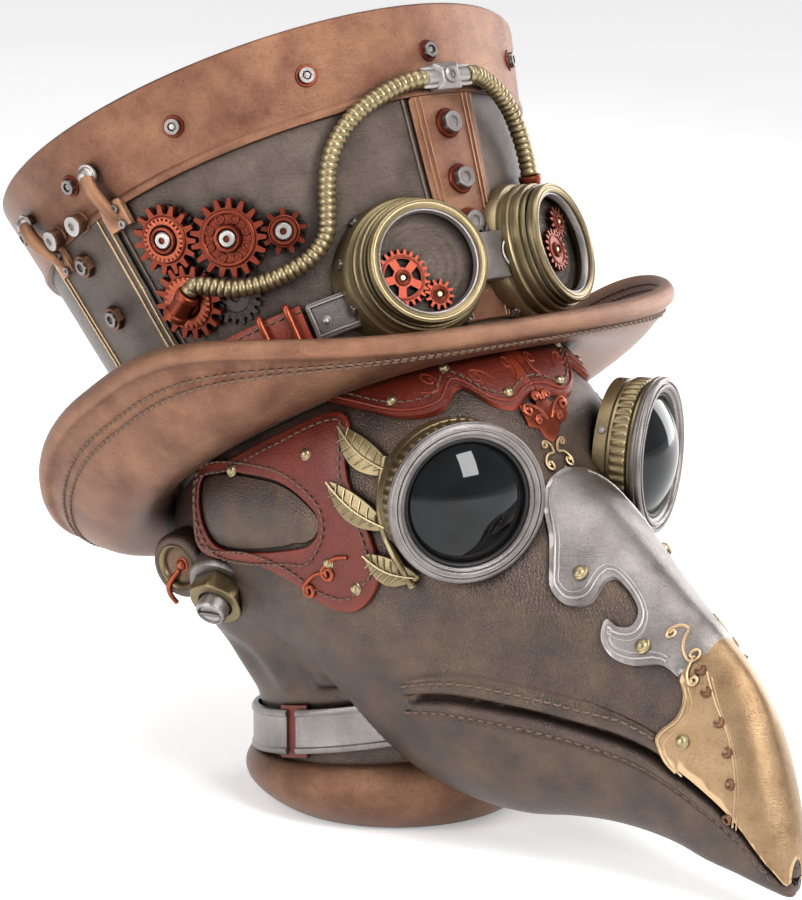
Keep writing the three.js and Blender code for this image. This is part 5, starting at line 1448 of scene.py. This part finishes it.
def make_hat_hardware():
    silver, copper, washers = Pile(), Pile(), Pile()
    for k in range(BAND_SCREWS):
        place = crown_place(1 + BAND_SCREW_STEP * k, BAND_SCREW_H, 1.7)
        silver.put(*nut_shape(2.9, 2.0, 1.5), place)
        silver.put(*lathe([(0.001, 1.7), (1.0, 1.6), (1.45, 1.0)], 16), place)
        washers.put(*lathe([(2.0, 0.5), (3.6, 0.45), (3.8, 0.1), (3.8, -0.5)], 28), place)
    for k, h in enumerate(FRONT_NUTS):
        place = crown_place(0, h, 2.1)
        shape = Pile().put(*nut_shape(4.0, 2.9, 1.8), place)
        shape.make(f"front nut {k + 1}", "silver", "hat", (f"front_nut_{k + 1}",), bevel=0.2)
        washers.put(*lathe([(3.0, 0.5), (4.9, 0.45), (5.2, 0.0), (5.2, -0.6)], 32), place)
    for side in (1, -1):
        for phi, h in ((98.9, 76), (99.3, 56), (99.3, 36)):
            place = crown_place(phi * side, h, 1.7)
            copper.put(*nut_shape(4.4, 2.2, 2.6), place)
            silver.put(*nut_shape(3.0, 3.0, 1.5), place)
        # Two clamps hang from the band, each a ball screw, an arm and a foot plate.
        for a0, h0, a1, h1 in ((82.7, 99.4, 82, 82.8), (110.5, 100.6, 106.3, 81.9)):
            line = [crown(a0 * side, h0, 1.0), crown(a0 * side, h0, 4.0),
                    crown((a0 + a1) / 2 * side, (h0 + h1) / 2 + 2, 6.5),
                    crown(a1 * side, h1 + 3, 5.0), crown(a1 * side, h1 - 2, 2.2)]
            copper.put(*sweep(curve3([tuple(p) for p in line], 30),
                              [1.7 + 0.9 * math.sin(math.pi * k / 30) for k in range(31)], 12))
            silver.put(*stud_shape(3.1, 3.0, 28), crown_place(a0 * side, h0, 4.2))
            outline = np.array([(a1 - 3.2, h1 - 5), (a1 + 3.2, h1 - 5), (a1 + 3.2, h1 + 4.5),
                                (a1 - 3.2, h1 + 4.5)], float) * [side, 1]
            copper.put(*panel(crown, outline, (), 1.5, 1.2, 2.2, 0.5, CROWN_SCALE))
            for d in (-3.2, 2.6):
                silver.put(*nut_shape(1.6, 1.4, 0.7), crown_place((a1 - 1.4) * side, h1 + d, 3.3))
        # Barrels beside the clamps, standing out of the band's lower roll.
        for phi, h in ((92.7, 88.2), (102.4, 89.4)):
            place = crown_place(phi * side, h, 1.0)
            copper.put(*lathe([(3.9, -1), (3.9, 0.8), (3.4, 1.1), (3.4, 3.6), (3.8, 3.9), (3.8, 4.8)],
                              32), place)
            silver.put(*lathe([(3.7, 4.6), (3.5, 5.3), (1.4, 5.5), (1.2, 5.0), (0.001, 5.0)], 32), place)
    silver.make("hat screws", "silver", "hat", sharp=35)
    copper.make("hat clamps", "copper", "hat", sharp=35)
    washers.make("screw washers", "red_copper", "hat", sharp=35)


make_camera()
make_studio()
make_mask()
make_neck()
make_crown()
make_strips()
make_brim()
for build in (make_plates, make_trims, make_eyes, make_gears, make_hoses, make_goggles,
              make_hat_hardware):
    build()
# The toothed wheels and their posts keep their solids, with every hard edge eased.
for node_name, obj in frame["nodes"].items():
    if node_name.startswith(("gear_", "large_wheel", "small_wheel", "goggle_dial")):
        soften(obj, 0.18)

for node_name, obj in frame["nodes"].items():
    slot_name = next(s["material_slot"] for s in frame["record"]["subparts"] if s["node"] == node_name)
    for k in range(len(obj.material_slots)):
        obj.material_slots[k].material = PAINT["gear_copper" if slot_name == "red_copper" else slot_name]

floor = bpy.data.objects.new("studio floor", bpy.data.meshes.new("studio floor"))
floor.data.from_pydata([(-6, -6, 0), (6, -6, 0), (6, 6, 0), (-6, 6, 0)], [], [(0, 1, 2, 3)])
floor.data.materials.append(PAINT["board"])
bpy.context.collection.objects.link(floor)
